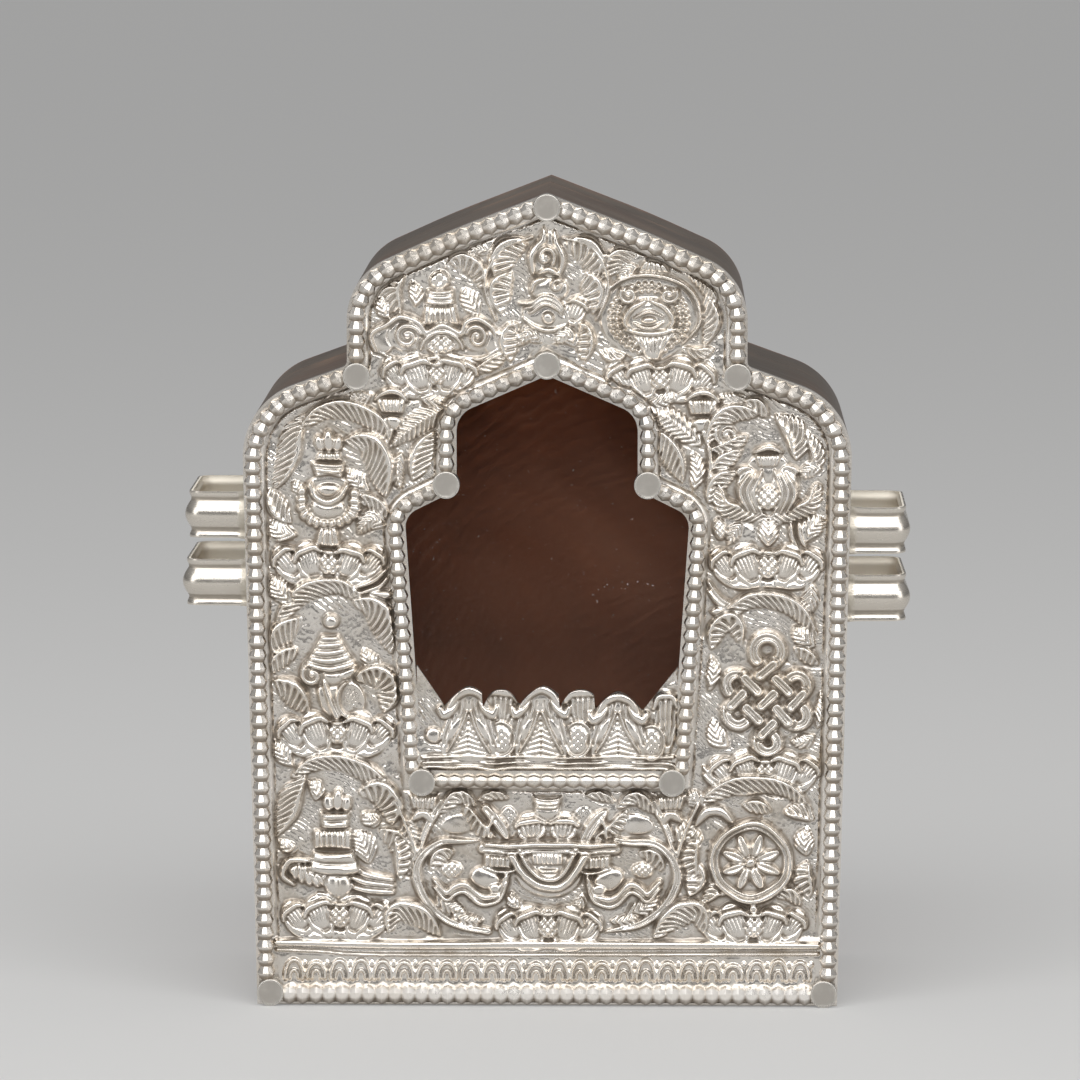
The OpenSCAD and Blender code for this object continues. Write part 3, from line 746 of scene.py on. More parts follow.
@dataclass
class BeadTree:
    """The Geometry Nodes tree that strings beads along a line."""

    sides: int = 10
    rows: int = 4
    seed: int = 7
    roundness: float = 1.2

    def make(self) -> bpy.types.NodeTree:
        """Builds the tree.

        Returns:
            The tree, with its sizes as named inputs.
        """
        tree = bpy.data.node_groups.new("beads_on_wire", "GeometryNodeTree")
        face = tree.interface
        face.new_socket("Geometry", in_out="INPUT", socket_type="NodeSocketGeometry")
        for name, kind in (("Bead count", "Int"), ("Bead length", "Float"),
                           ("Bead radius", "Float"), ("Waist drop", "Float"),
                           ("Unevenness", "Float"), ("Finish", "Material")):
            face.new_socket(name, in_out="INPUT", socket_type="NodeSocket" + kind)
        face.new_socket("Geometry", in_out="OUTPUT", socket_type="NodeSocketGeometry")
        b = Bench(tree)
        given = b.node("NodeGroupInput").outputs
        line = b.signal("GeometryNodeMeshToCurve", None, {"Mesh": given["Geometry"]})
        line = b.signal("GeometryNodeResampleCurve", None,
                        {"Curve": line, "Count": given["Bead count"]})
        bead = b.signal("GeometryNodeMeshCylinder", {"fill_type": "NGON"},
                        {"Vertices": self.sides, "Side Segments": self.rows,
                         "Radius": given["Bead radius"], "Depth": given["Bead length"]}, "Mesh")
        place = b.signal("GeometryNodeInputPosition")
        x, y, z = (b.signal("ShaderNodeSeparateXYZ", None, {0: place}, axis) for axis in range(3))
        along = (z / (Signal(b, given["Bead length"]) * 0.5)).sum("ABSOLUTE")
        slim = 1.0 - along ** self.roundness * Signal(b, given["Waist drop"])
        shaped = b.signal("ShaderNodeCombineXYZ", None, {0: x * slim, 1: y * slim, 2: z})
        bead = b.signal("GeometryNodeSetPosition", None, {"Geometry": bead, "Position": shaped})
        bead = b.signal("GeometryNodeStoreNamedAttribute", {"data_type": "FLOAT", "domain": "POINT"},
                        {"Geometry": bead, "Name": "recess", "Value": along ** 3.0})
        aligned = b.signal("FunctionNodeAlignRotationToVector", {"axis": "Z"},
                           {"Vector": b.signal("GeometryNodeInputTangent")})
        small = 1.0 - Signal(b, given["Unevenness"])
        size = b.signal("FunctionNodeRandomValue", {"data_type": "FLOAT"},
                        {2: small, 3: 1.0, "Seed": self.seed}, 1)
        whole = b.signal("GeometryNodeInstanceOnPoints", None,
                         {"Points": line, "Instance": bead, "Rotation": aligned, "Scale": size})
        whole = b.signal("GeometryNodeRealizeInstances", None, {"Geometry": whole})
        whole = b.signal("GeometryNodeSetShadeSmooth", None, {"Geometry": whole})
        whole = b.signal("GeometryNodeSetMaterial", None,
                         {"Geometry": whole, "Material": given["Finish"]})
        b.node("NodeGroupOutput", None, {0: whole})
        return tree


@dataclass
class BeadedWires:
    """The beaded wires round the box and round the window, strung between the studs."""

    shape: BoxShape
    silver: Material
    lightened: Material
    outer_radius: float = 1.68
    window_radius: float = 1.56
    base_radius: float = 1.92
    base_lift: float = 0.2
    foot_radius: float = 1.3
    pitch: float = 2.46
    seat_share: float = 0.7
    waist_drop: float = 0.36
    stud_radius: float = 2.5
    tuck: float = 0.6
    foot_tuck: float = 1.6
    overlap: float = 1.03
    unevenness: float = 0.045
    facet_angle: float = 29.0

    def stud_place(self, stop: Stop) -> Point:
        """Gives the middle of a stud on the front."""
        if stop.value >= 20:
            c = self.shape.window_corners[stop.value - 20]
            foot = stop in (Stop.WINDOW_FOOT_LEFT, Stop.WINDOW_FOOT_RIGHT)
            return (c.x - (math.copysign(self.foot_tuck, c.x) if foot else 0.0), c.z)
        if stop in (Stop.BASE_LEFT, Stop.BASE_RIGHT):
            side = 1 if stop is Stop.BASE_RIGHT else -1
            return (side * (self.shape.base_half - self.stud_radius), self.stud_radius)
        c = self.shape.wire_corners[stop.value]
        return (c.x, c.z - self.tuck)

    def line(self, first: Stop, last: Stop) -> tuple[Array, int]:
        """Finds the line of bead middles between two studs.

        Args:
            first: The stud where the wire starts.
            last: The stud where it ends.

        Returns:
            The line on the front, from the first bead's middle to the last's, and the count.
        """
        corners = self.shape.window_corners if first.value >= 20 else self.shape.wire_corners
        base = first.value // 20 * 20
        start, end = first.value - base, last.value - base
        count = len(corners)
        wanted = [corners[k % count] for k in range(start, (end if end > start else end + count) + 1)]
        points = rounded_line(wanted, False)
        points = spread_evenly(points, 0.5, False)
        for place, at_start in ((self.stud_place(first), True), (self.stud_place(last), False)):
            clear = np.linalg.norm(points - place, axis=1) > self.stud_radius - 0.25
            hidden = np.flatnonzero(~clear)
            if len(hidden):
                points = points[hidden.max() + 1:] if at_start else points[:hidden.min()]
        lengths = np.r_[0, np.cumsum(np.linalg.norm(np.diff(points, axis=0), axis=1))]
        number = max(2, round(lengths[-1] / self.pitch))
        ends = lengths[-1] * (np.arange(number) + 0.5) / number
        return np.column_stack([np.interp(ends, lengths, points[:, i]) for i in (0, 1)]), number

    def string(self, tree: bpy.types.NodeTree, ring: str, side: str, first: Stop, last: Stop,
               radius: float, lift: float, finish: Material) -> None:
        """Strings one wire and hands it to the frame.

        Args:
            tree: The bead tree.
            ring: "outer" or "window".
            side: Which length of the ring it is.
            first: The stud where it starts.
            last: The stud where it ends.
            radius: The wire's radius.
            lift: How far it lies above its line on the front.
            finish: Its silver.
        """
        name = f"{ring}_beads_{side}"
        points, number = self.line(first, last)
        points = points + (0, lift)
        length = np.linalg.norm(np.diff(points, axis=0), axis=1).sum() / (number - 1)
        height = radius * self.seat_share
        mesh = bpy.data.meshes.new(name + "_line")
        mesh.from_pydata((on_face(points, height) * MM).tolist(),
                         [(i, i + 1) for i in range(number - 1)], [])
        path = stand(name + "_line", mesh)
        modifier = path.modifiers.new("beads", "NODES")
        modifier.node_group = tree
        sizes = {"Bead count": number, "Bead length": float(length * self.overlap * MM),
                 "Bead radius": radius * MM, "Waist drop": self.waist_drop,
                 "Unevenness": self.unevenness, "Finish": finish}
        for item in tree.interface.items_tree:
            if item.item_type == "SOCKET" and item.name in sizes:
                modifier[item.identifier] = sizes[item.name]
        path.update_tag()
        graph = bpy.context.evaluated_depsgraph_get()
        beads = bpy.data.meshes.new_from_object(path.evaluated_get(graph))
        bpy.data.objects.remove(path, do_unlink=True)
        flat = np.empty(len(beads.vertices) * 3, np.float32)
        beads.vertices.foreach_get("co", flat)
        above = (FACE_Y - flat[1::3]) / MM
        groove = np.empty(len(beads.vertices), np.float32)
        beads.attributes["recess"].data.foreach_get("value", groove)
        ways = np.empty(len(beads.vertices) * 3, np.float32)
        beads.vertex_normals.foreach_get("vector", ways)
        # Painted shade: beads darken close to the plate and on faces that turn down; their waists hold
        # tarnish
        downward_painted_shade = np.clip(-ways[2::3] * 2.2, 0, 1)
        store(beads, "recess", np.clip(groove * 0.55 + np.clip(0.6 - above, 0, 1) + downward_painted_shade * 0.8, 0, 1))
        beads.set_sharp_from_angle(angle=math.radians(self.facet_angle))
        seat(stand(name, beads), f"{ring}_wire_{side}")

    def build(self) -> None:
        """Builds the ten wires."""
        tree = BeadTree().make()
        usual = {"outer": self.outer_radius, "window": self.window_radius}
        special = {"bottom": (self.base_radius, self.base_lift, self.lightened),
                   "foot": (self.foot_radius, 0.0, self.silver)}
        for ring, foot, stops in (
                ("outer", "bottom", [Stop.BASE_LEFT, Stop.BASE_RIGHT, Stop.VALLEY_RIGHT, Stop.TIP,
                                     Stop.VALLEY_LEFT]),
                ("window", "foot", [Stop.WINDOW_FOOT_LEFT, Stop.WINDOW_FOOT_RIGHT,
                                    Stop.WINDOW_SIDE_RIGHT, Stop.WINDOW_TIP,
                                    Stop.WINDOW_SIDE_LEFT])):
            sides = (foot, "right", "top_right", "top_left", "left")
            for side, first, last in zip(sides, stops, stops[1:] + stops[:1]):
                radius, lift, finish = special.get(side, (usual[ring], 0.0, self.silver))
                self.string(tree, ring, side, first, last, radius, lift, finish)


@dataclass
class Studs:
    """The ten flat-topped studs on the wires' crossings."""

    wires: BeadedWires
    silver: Material
    radius: float = 2.5
    rise: float = 2.88
    lip: float = 0.32
    bevel: float = 0.16
    sides: int = 64

    def build(self) -> None:
        """Turns each stud: a straight side, a soft edge, a thin lip and a flat face."""
        r, h, b, lip = self.radius, self.rise, self.bevel, self.lip
        profile = [(r - 0.05, 0.0), (r, 0.3), (r, h - b), (r - b * 0.3, h - b * 0.3), (r - b, h),
                   (r - lip, h - 0.01), (r - lip - 0.1, h - 0.07), (r - 0.8, h - 0.075),
                   (0.8, h - 0.05)]
        mark = np.repeat([0.2, 0.5, 0.8, 1.0, 1.0, 0.9, 0.1, 0.0, 0.0], self.sides)
        angles = np.arange(self.sides) * 2 * math.pi / self.sides
        circle = np.column_stack([np.cos(angles), np.sin(angles)])
        for stop in (Stop.TIP, Stop.VALLEY_RIGHT, Stop.VALLEY_LEFT, Stop.BASE_RIGHT, Stop.BASE_LEFT,
                     Stop.WINDOW_TIP, Stop.WINDOW_SIDE_RIGHT, Stop.WINDOW_SIDE_LEFT,
                     Stop.WINDOW_FOOT_RIGHT, Stop.WINDOW_FOOT_LEFT):
            place = self.wires.stud_place(stop)
            verts = np.vstack([on_face(place + reach * circle, height) for reach, height in profile])
            obj = put("cap_" + stop.node, verts, tube(len(profile), self.sides), self.silver,
                      marks={"recess": mark}, angle=180)
            seat(obj, stop.node)


# Case, lid and window


@dataclass
class CopperBox:
    """The copper case wall, the lid that slides off its back, and the sleeve between them."""

    shape: BoxShape
    copper: Material
    lid_copper: Material
    sheet: float = 0.8
    face_sheet: float = 0.8
    case_depth: float = 31.0
    lid_depth: float = 18.2
    seam: float = 0.15
    soft: float = 0.18

    def wall(self, name: str, node: str, low: float, high: float, body: str,
             raw: float) -> None:
        """Bends one strip of copper round the outline.

        Args:
            name: The piece's name.
            node: The CAD node that it stands for.
            low: Height of its back edge on the front's scale.
            high: Height of its front edge.
            body: The body that it moves with.
            raw: How worn its back edge is.
        """
        line = spread_evenly(self.shape.outline, 2.5, True)
        verts, faces = band(line, self.sheet, low, high)
        edge = np.repeat([0.25, 0.15, 0.3, raw], len(line))
        obj = put(name, verts, faces, self.copper, marks={"edge": edge}, angle=30)
        seat(obj, node, body=body)

    def build(self) -> None:
        """Builds the walls and the lid's plate, and dresses the sleeve."""
        self.wall("copper_case_wall", "case_wall", -self.case_depth, -self.face_sheet, "case", 0.55)
        back = -(self.case_depth + self.lid_depth)
        self.wall("copper_lid_wall", "lid_wall", back + self.sheet, -self.case_depth - self.seam,
                  "back_lid", 0.6)
        line = spread_evenly(self.shape.outline, 2.5, True)
        soft = self.soft
        rings = [on_face(moved_in(line, inset), height) for inset, height in
                 ((soft, back), (soft * 0.3, back + soft * 0.3), (0.0, back + soft),
                  (0.0, back + self.sheet))]
        obj = put("copper_lid_plate", np.vstack(rings), tube(len(rings), len(line)),
                  self.lid_copper, marks={"edge": np.repeat([0.6, 1.0, 0.7, 0.2], len(line))},
                  angle=60)
        seat(obj, "lid_back_plate", body="back_lid")
        dress("lid_sleeve", self.lid_copper)


@dataclass
class Window:
    """The pane, and the tabs that hold it."""

    shape: BoxShape
    glass: Material
    tab_silver: Material
    lap: float = 2.4
    sheet: float = 0.8
    pane: float = 1.6
    gap: float = 0.1

    def build(self) -> None:
        """Builds the pane and dresses the tabs."""
        outline = moved_in(self.shape.window_line, self.shape.opening_inset - self.lap)
        front = -self.sheet - self.gap
        verts = np.vstack([on_face(outline, front - self.pane), on_face(outline, front)])
        obj = put("glass_pane", verts, tube(2, len(outline)), self.glass, angle=30)
        seat(obj, "window_glass")
        for side in ("left", "right", "foot", "top"):
            dress("glass_tab_" + side, self.tab_silver)


@dataclass
class StrapLoops:
    """The four bent bands at the sides that the strap passes through."""

    shape: BoxShape
    silver: Material
    band: float = 8.5
    reach: float = 11.3
    swell: float = 1.15
    lip: float = 0.36
    sheet: float = 0.65
    bend: float = 2.3
    setback: float = 1.7
    margin: float = 0.8
    case_depth: float = 31.0
    height: float = 90.6
    pitch: float = 12.5
    right_drop: float = 2.6
    rows: int = 36
    sunk: float = 0.4
    solder_reach: float = 2.6
    wander: float = 0.035

    def rise(self, share: float) -> float:
        """How far the band stands out at a share of its height, from -0.5 to 0.5."""
        swell_share, lip_share = 0.62, 0.14
        if abs(share) < swell_share / 2:
            return self.swell * math.cos(math.pi * share / swell_share)
        if abs(share) > 0.5 - lip_share:
            return self.lip * math.sin(math.pi * 0.62 * (abs(share) - 0.5 + lip_share) / lip_share)
        return 0.0

    def plan(self, outer: float, inner: float, front: float, back: float) -> tuple[Array, Array]:
        """Draws the band's line seen from above, with the way that it faces.

        Args:
            outer: How far out the line goes.
            inner: Where both arms end, inside the case wall.
            front: The front arm's place in depth.
            back: The back arm's place in depth.

        Returns:
            Points as [x, y], and outward unit vectors.
        """
        points, ways = [], []
        r = self.bend
        for x in np.linspace(inner, outer - r, 10)[:-1]:
            points.append((x, front))
            ways.append((0.0, -1.0))
        for a in np.linspace(-90, 0, 13):
            c, s = math.cos(math.radians(a)), math.sin(math.radians(a))
            points.append((outer - r + r * c, front + r + r * s))
            ways.append((c, s))
        for y in np.linspace(front + r, back - r, 14)[1:-1]:
            points.append((outer, y))
            ways.append((1.0, 0.0))
        for a in np.linspace(0, 90, 13):
            c, s = math.cos(math.radians(a)), math.sin(math.radians(a))
            points.append((outer - r + r * c, back - r + r * s))
            ways.append((c, s))
        for x in np.linspace(outer - r, inner, 10)[1:]:
            points.append((x, back))
            ways.append((0.0, 1.0))
        return np.array(points), np.array(ways)

    def build_one(self, side: int, height: float, level: str, longer: float) -> None:
        """Bends one loop.

        Args:
            side: 1 for the right, -1 for the left.
            height: The height of its middle.
            level: "upper" or "lower".
            longer: How much further out it reaches.
        """
        half = self.band / 2
        side_x = min(self.shape.side_half(height - half), self.shape.side_half(height + half))
        outer = self.shape.side_half(self.height) + self.reach + longer - self.swell
        front = FACE_Y / MM + self.setback + self.swell
        back = FACE_Y / MM + self.case_depth - self.margin - self.swell
        points, ways = self.plan(outer, side_x - self.sunk, front, back)
        shares = [k / self.rows - 0.5 for k in range(self.rows + 1)]
        section = [(self.rise(s), s * self.band) for s in shares]
        section += [(self.rise(s) - self.sheet, s * self.band) for s in reversed(shares)]
        # Tarnish where the band sinks between lips and swell, and painted shade on the swell's lower
        # half
        groove_and_painted_shade_of = [max(0.0, 0.85 - 2.4 * self.rise(s)) + (0.4 if -0.32 < s < 0.0 else 0.0)
                     for s in shares] + [0.0] * len(shares)
        inside_of = [0.0] * len(shares) + [1.0] * len(shares)
        verts, recess, solder, inside = [], [], [], []
        rng = np.random.default_rng(11 + side * 3 + int(height))
        waves = rng.normal(0, 1, (4, 3))
        for i, (p, w) in enumerate(zip(points, ways)):
            t = i / (len(points) - 1)
            sway = sum(wave * math.sin(math.pi * k * t) for k, wave in enumerate(waves, 1)) * self.wander
            root = max(0.0, 1 - abs(p[0] - side_x) / self.solder_reach)
            flare = 1 + 0.05 * root * root
            for (rise, z), mark, hidden in zip(section, groove_and_painted_shade_of, inside_of):
                verts.append((side * (p[0] + w[0] * rise + sway[0] * (1 - root)),
                              p[1] + w[1] * rise + sway[1] * (1 - root),
                              height + z * flare + sway[2] * (1 - root)))
                recess.append(mark)
                solder.append(root)
                inside.append(hidden)
        name = f"strap_loop_{'left' if side < 0 else 'right'}_{level}"
        faces = tube(len(points), len(section), flipped=side > 0)
        obj = put("bent_" + name, np.array(verts), faces, self.silver,
                  marks={"recess": np.array(recess), "solder": np.array(solder),
                         "inside": np.array(inside)}, angle=62)
        seat(obj, name)

    def build(self) -> None:
        """Builds the two pairs."""
        for side in (-1, 1):
            top = self.height - (self.right_drop if side > 0 else 0.0)
            self.build_one(side, top, "upper", 0.0)
            self.build_one(side, top - self.pitch, "lower", 0.5 if side < 0 else 0.0)


@dataclass
class Rim:
    """The thin strip of silver on edge round the front plate."""

    shape: BoxShape
    silver: Material
    sheet: float = 0.45
    rise: float = 0.9
    depth: float = 0.8

    def build(self) -> None:
        """Builds the strip."""
        line = spread_evenly(self.shape.outline, 1.2, True)
        verts, faces = band(line, self.sheet, -self.depth, self.rise)
        obj = put("silver_rim", verts, faces, self.silver,
                  marks={"recess": np.zeros(len(verts))}, angle=40)
        seat(obj, "front_rim")


# Worked silver relief


class Profile(Enum):
    """How a worked form rises from its edge."""

    ROUND = "round"
    FLAT = "flat"
    RIMMED = "rimmed"
    CRESTED = "crested"
    FURROWED = "furrowed"

    def rise(self, out: Array, side: Array) -> Array:
        """Gives the height across a form.

        Args:
            out: 0 in the middle of the form to 1 at its edge.
            side: The same with a sign: positive on the left of the way it was drawn.

        Returns:
            The height, as a share of the form's own.
        """
        if self is Profile.ROUND:
            return (1 - out ** 2) ** 0.62
        shell = (1 - out ** 3) ** 0.7
        if self is Profile.RIMMED:
            return shell * (0.78 + 0.25 * np.exp(-(out / 0.16) ** 2))
        if self is Profile.CRESTED:
            return shell * (0.7 + 0.42 * np.exp(-((side - 0.62) / 0.3) ** 2))
        if self is Profile.FURROWED:
            return shell * (1 - 0.42 * (0.5 + 0.5 * np.cos(out * 7.2)))
        return shell


@dataclass(frozen=True)
class Hatch:
    """Chased lines across a form, slanting away from its middle line."""

    pitch: float = 1.0
    depth: float = 0.6
    slant: float = 0.8
    mirrored: bool = True
    high: float = 1.2

    def cut(self, along: Array, across: Array, side: Array) -> Array:
        """Gives how deep the lines cut at each place of a form, as a share of its own depth."""
        phase = along + self.slant * (np.abs(across) if self.mirrored else across)
        lines = (0.5 - 0.5 * np.cos(2 * np.pi * phase / self.pitch)) ** 1.6
        return lines * eased(self.high - side, 0, 0.25)


def eased(value: Array, low: float, high: float) -> Array:
    """Turns the range from low to high into 0 to 1, with soft ends."""
    t = np.clip((value - low) / (high - low), 0, 1)
    return t * t * (3 - 2 * t)


def arc(x: float, z: float, reach: float, first: float, last: float, tall: float = 1.0) -> list[Point]:
    """Gives points on an arc, by angles in degrees from the right, anticlockwise."""
    return [(x + reach * math.cos(math.radians(a)), z + reach * tall * math.sin(math.radians(a)))
            for a in np.linspace(first, last, 9 + int(abs(last - first) / 15))]


def mirrored(side: int, *points: Point) -> list[Point]:
    """Gives points as they are, or for side -1 mirrored and run backwards, crest still outside."""
    return list(points) if side > 0 else [(-x, z) for x, z in points][::-1]


def softened(field: Array, spread: float, pitch: float) -> Array:
    """Blurs a field of heights.

    Args:
        field: The heights.
        spread: The blur's reach in millimetres.
        pitch: The field's spacing in millimetres.

    Returns:
        The blurred field.
    """
    rim = int(math.ceil(4 * spread / pitch))
    wide = np.pad(field, rim, mode="edge")
    along = np.fft.fftfreq(wide.shape[0])[:, None]
    across = np.fft.rfftfreq(wide.shape[1])[None, :]
    filter_ = np.exp(-2 * (np.pi * spread / pitch) ** 2 * (along ** 2 + across ** 2))
    return np.fft.irfft2(np.fft.rfft2(wide) * filter_, wide.shape)[rim:-rim, rim:-rim]


class ReliefCanvas:
    """A field of heights in millimetres on which worked forms are laid one over another."""

    groove = 0.14

    def __init__(self, low: Point, high: Point, pitch: float, seed: int) -> None:
        """Lays out the field.

        Args:
            low: Its lower left corner.
            high: Its upper right corner.
            pitch: Its spacing.
            seed: What its uneven hand work is drawn from.
        """
        self.pitch = pitch
        self.xs = np.arange(low[0], high[0] + pitch, pitch)
        self.zs = np.arange(low[1], high[1] + pitch, pitch)
        self.height = np.zeros((len(self.zs), len(self.xs)))
        self.random = np.random.default_rng(seed)

    def local(self, points: Any, margin: float) -> tuple[tuple[slice, slice], Array, Array]:
        """Finds the part of the field round some points, and its x and z."""
        flat = np.asarray(points, float).reshape(-1, 2)
        cut = []
        for axis, line in ((1, self.zs), (0, self.xs)):
            first = int((flat[:, axis].min() - margin - line[0]) / self.pitch)
            last = int((flat[:, axis].max() + margin - line[0]) / self.pitch) + 2
            cut.append(slice(max(first, 0), max(min(last, len(line)), 1)))
        x, z = np.meshgrid(self.xs[cut[1]], self.zs[cut[0]])
        return (cut[0], cut[1]), x, z

    def lay(self, cut: tuple[slice, slice], edge: Array, shape: Array, lift: float) -> None:
        """Lays one form over what is there, with a chased groove round it.

        Args:
            cut: The part of the field.
            edge: Distance to the form's edge, negative inside it.
            shape: The form's height.
            lift: Height that its edge starts from.
        """
        field = self.height[cut]
        sunk = field - self.groove * np.exp(-(np.maximum(edge, 0) / 0.4) ** 2)
        inside = eased(-edge, -0.08, 0.22)
        self.height[cut] = np.maximum(sunk, -0.25) * (1 - inside) + (lift + shape) * inside

    def stroke(self, points: Sequence[Point], half: float, height: float,
               ends: Point = (1.0, 1.0), profile: Profile = Profile.ROUND,
               hatch: Hatch | None = None, lift: float = 0.1) -> None:
        """Lays a form along a curved line.

        Args:
            points: The line's points.
            half: Half its full width.
            height: Its height.
            ends: Its width at the start and the end, as shares.
            profile: How it rises from its edge.
            hatch: Lines chased across it.
            lift: Height that its edge starts from.
        """
        knots = np.asarray(points, float)
        reach = np.vstack([2 * knots[0] - knots[1], knots, 2 * knots[-1] - knots[-2]])
        path = [knots[0]]
        for a, b, c, d in zip(reach, reach[1:], reach[2:], reach[3:]):
            steps = max(2, int(np.linalg.norm(c - b) / 0.5))
            for t in np.arange(1, steps + 1) / steps:
                path.append(0.5 * (2 * b + (c - a) * t + (2 * a - 5 * b + 4 * c - d) * t ** 2
                                   + (3 * b - a - 3 * c + d) * t ** 3))
        cut, x, z = self.local(path, half + 0.9)
        near = np.full(x.shape, 1e6)
        along, across = np.zeros(x.shape), np.zeros(x.shape)
        run = 0.0
        for a, b in zip(path, path[1:]):
            way = b - a
            length = max(float(np.linalg.norm(way)), 1e-6)
            dx, dz = x - a[0], z - a[1]
            t = np.clip((dx * way[0] + dz * way[1]) / length ** 2, 0, 1)
            gap = np.hypot(dx - t * way[0], dz - t * way[1])
            closer = gap < near
            near = np.where(closer, gap, near)
            along = np.where(closer, run + t * length, along)
            across = np.where(closer, np.copysign(gap, way[0] * dz - way[1] * dx), across)
            run += length
        share = along / run
        base = ends[0] + (ends[1] - ends[0]) * share
        wide = half * (base + (1 - base) * np.sin(np.pi * np.clip(share, 0, 1)) ** 0.75) + 0.02
        full = height * np.sqrt(wide / half).clip(0, 1)
        lines = np.zeros(x.shape)
        if hatch:
            lines = hatch.cut(along, across, across / wide)
            wide = wide * (1 - 0.16 * lines)
        out = np.clip(near / wide, 0, 1)
        shape = full * profile.rise(out, np.clip(across / wide, -1, 1))
        if hatch:
            shape = shape - np.minimum(hatch.depth * lines, shape * 0.75)
        self.lay(cut, near - wide, shape, lift)

    def dome(self, x: float, z: float, wide: float, tall: float = 0.0, height: float = 1.0,
             turn: float = 0.0, cross: float = 0.0, lift: float = 0.1) -> None:
        """Lays an oval boss.

        Args:
            x: Its middle across.
            z: Its middle up.
            wide: Half its width.
            tall: Half its height on the front; 0 makes it round.
            height: How far it stands out.
            turn: How it is turned, in degrees.
            cross: Spacing of the lines that cross on it; 0 leaves it plain.
            lift: Height that its edge starts from.
        """
        tall = tall or wide
        reach = max(wide, tall)
        cut, gx, gz = self.local([(x - reach, z - reach), (x + reach, z + reach)], 0.9)
        c, s = math.cos(math.radians(turn)), math.sin(math.radians(turn))
        u, v = (gx - x) * c + (gz - z) * s, (gz - z) * c - (gx - x) * s
        out = np.hypot(u / wide, v / tall)
        shape = height * np.sqrt(1 - np.clip(out, 0, 1) ** 2.4)
        if cross:
            for way in (u + v, u - v):
                line = (0.5 + 0.5 * np.cos(2 * np.pi * way / cross / math.sqrt(2))) ** 2
                shape = shape - 0.35 * np.minimum(line, shape)
        self.lay(cut, (out - 1) * min(wide, tall), shape, lift)

    def curl(self, x: float, z: float, reach: float, turns: float, start: float, half: float,
             height: float, lift: float = 0.1) -> None:
        """Lays a curling line that winds in to its middle; negative turns wind clockwise."""
        self.dome(x, z, reach, height=0.45, lift=lift)
        count = max(12, int(abs(turns) * 16))
        points = []
        for k in range(count + 1):
            t = k / count
            a = math.radians(start) + 2 * math.pi * turns * t
            r = reach * (1 - 0.8 * t)
            points.append((x + r * math.cos(a), z + r * math.sin(a)))
        self.stroke(points, half, height, (1.0, 0.7), lift=lift)
        self.dome(x, z, half * 1.1, height=height, lift=lift)

    def ribs(self, x: float, low: float, high: float, foot: float, top: float, count: int,
             height: float, bow: float | None = None, lift: float = 0.1) -> None:
        """Lays a block of rounded ribs: upright, or level where it has a bow.

        Args:
            x: Its middle across.
            low: Its foot.
            high: Its top.
            foot: Half its width at the foot.
            top: Half its width at the top.
            count: How many ribs it has.
            height: How far it stands out.
            bow: How far level ribs hang down in the middle; None stands them upright.
            lift: Height that its edge starts from.
        """
        wide = max(foot, top)
        cut, gx, gz = self.local([(x - wide, low - abs(bow or 0)), (x + wide, high)], 0.9)
        level = gz + (bow or 0.0) * (1 - np.clip((gx - x) / wide, -1, 1) ** 2)
        share = np.clip((level - low) / (high - low), 0, 1)
        half = foot + (top - foot) * share
        side = (gx - x) / half
        edge = np.maximum(np.abs(gx - x) - half, np.abs(level - (low + high) / 2) - (high - low) / 2)
        place = (side + 1) / 2 if bow is None else share
        lines = 0.5 + 0.5 * np.abs(np.sin(np.pi * count * place)) ** 0.8
        shape = height * lines * np.sqrt(np.clip(1.12 - side ** 2, 0, 1)) * eased(-edge, -0.2, 0.5)
        if bow is None:
            shape = shape * (1.1 - 0.5 * (2 * share - 1) ** 2)
        self.lay(cut, edge, shape, lift)

    def frond(self, points: Sequence[Point], half: float, height: float = 1.35,
              slant: float = 1.2, pitch: float = 1.35, ends: Point = (0.15, 0.15)) -> None:
        """Lays a leaf with bold slanting lines between two smooth edges."""
        self.stroke(points, half * 1.15, height * 1.1, ends, Profile.CRESTED,
                    Hatch(pitch, 0.8, slant, False, 0.55))

    def leaf(self, points: Sequence[Point], half: float, height: float = 1.2,
             pitch: float = 1.15) -> None:
        """Lays a pointed leaf with a rib, a rim and veins to both sides."""
        self.stroke(points, half * 1.3, height * 1.15, (0.05, 0.0), Profile.RIMMED,
                    Hatch(pitch, 0.6, 1.3))

    def petal(self, foot: Point, tip: Point, half: float, height: float = 1.4, lines: int = 4,
              cap: float = 0.33, lift: float = 0.1) -> None:
        """Lays one cupped petal: lines along it and a bright rolled tip.

        Args:
            foot: Where it starts.
            tip: Where it ends.
            half: Half its width.
            height: How far it stands out.
            lines: How many lines are chased along it.
            cap: How thick the rolled tip is, as a share of half.
            lift: Height that its edge starts from.
        """
        low, high = np.array(foot), np.array(tip)
        way = high - low
        side = np.array([-way[1], way[0]]) / np.linalg.norm(way) * half
        middle = low + way * 0.5
        self.stroke([foot, tuple(middle), tip], half * 1.05, height * 0.75, (0.5, 0.98), lift=lift)
        for share in np.linspace(-0.72, 0.72, lines):
            self.scratch([tuple(low + way * 0.08 + side * share * 0.35),
                          tuple(middle + side * share * 0.95),
                          tuple(high + way * 0.02 + side * share * 1.1)], 0.21, 0.6)
        peak = high + way / np.linalg.norm(way) * half * 0.3
        self.stroke([tuple(peak - side * 1.05 - way * 0.22), tuple(peak - side * 0.7),
                     tuple(peak + way * 0.03), tuple(peak + side * 0.7),
                     tuple(peak + side * 1.05 - way * 0.22)], half * cap, height * 1.15, (0.6, 0.6),
                    lift=lift)

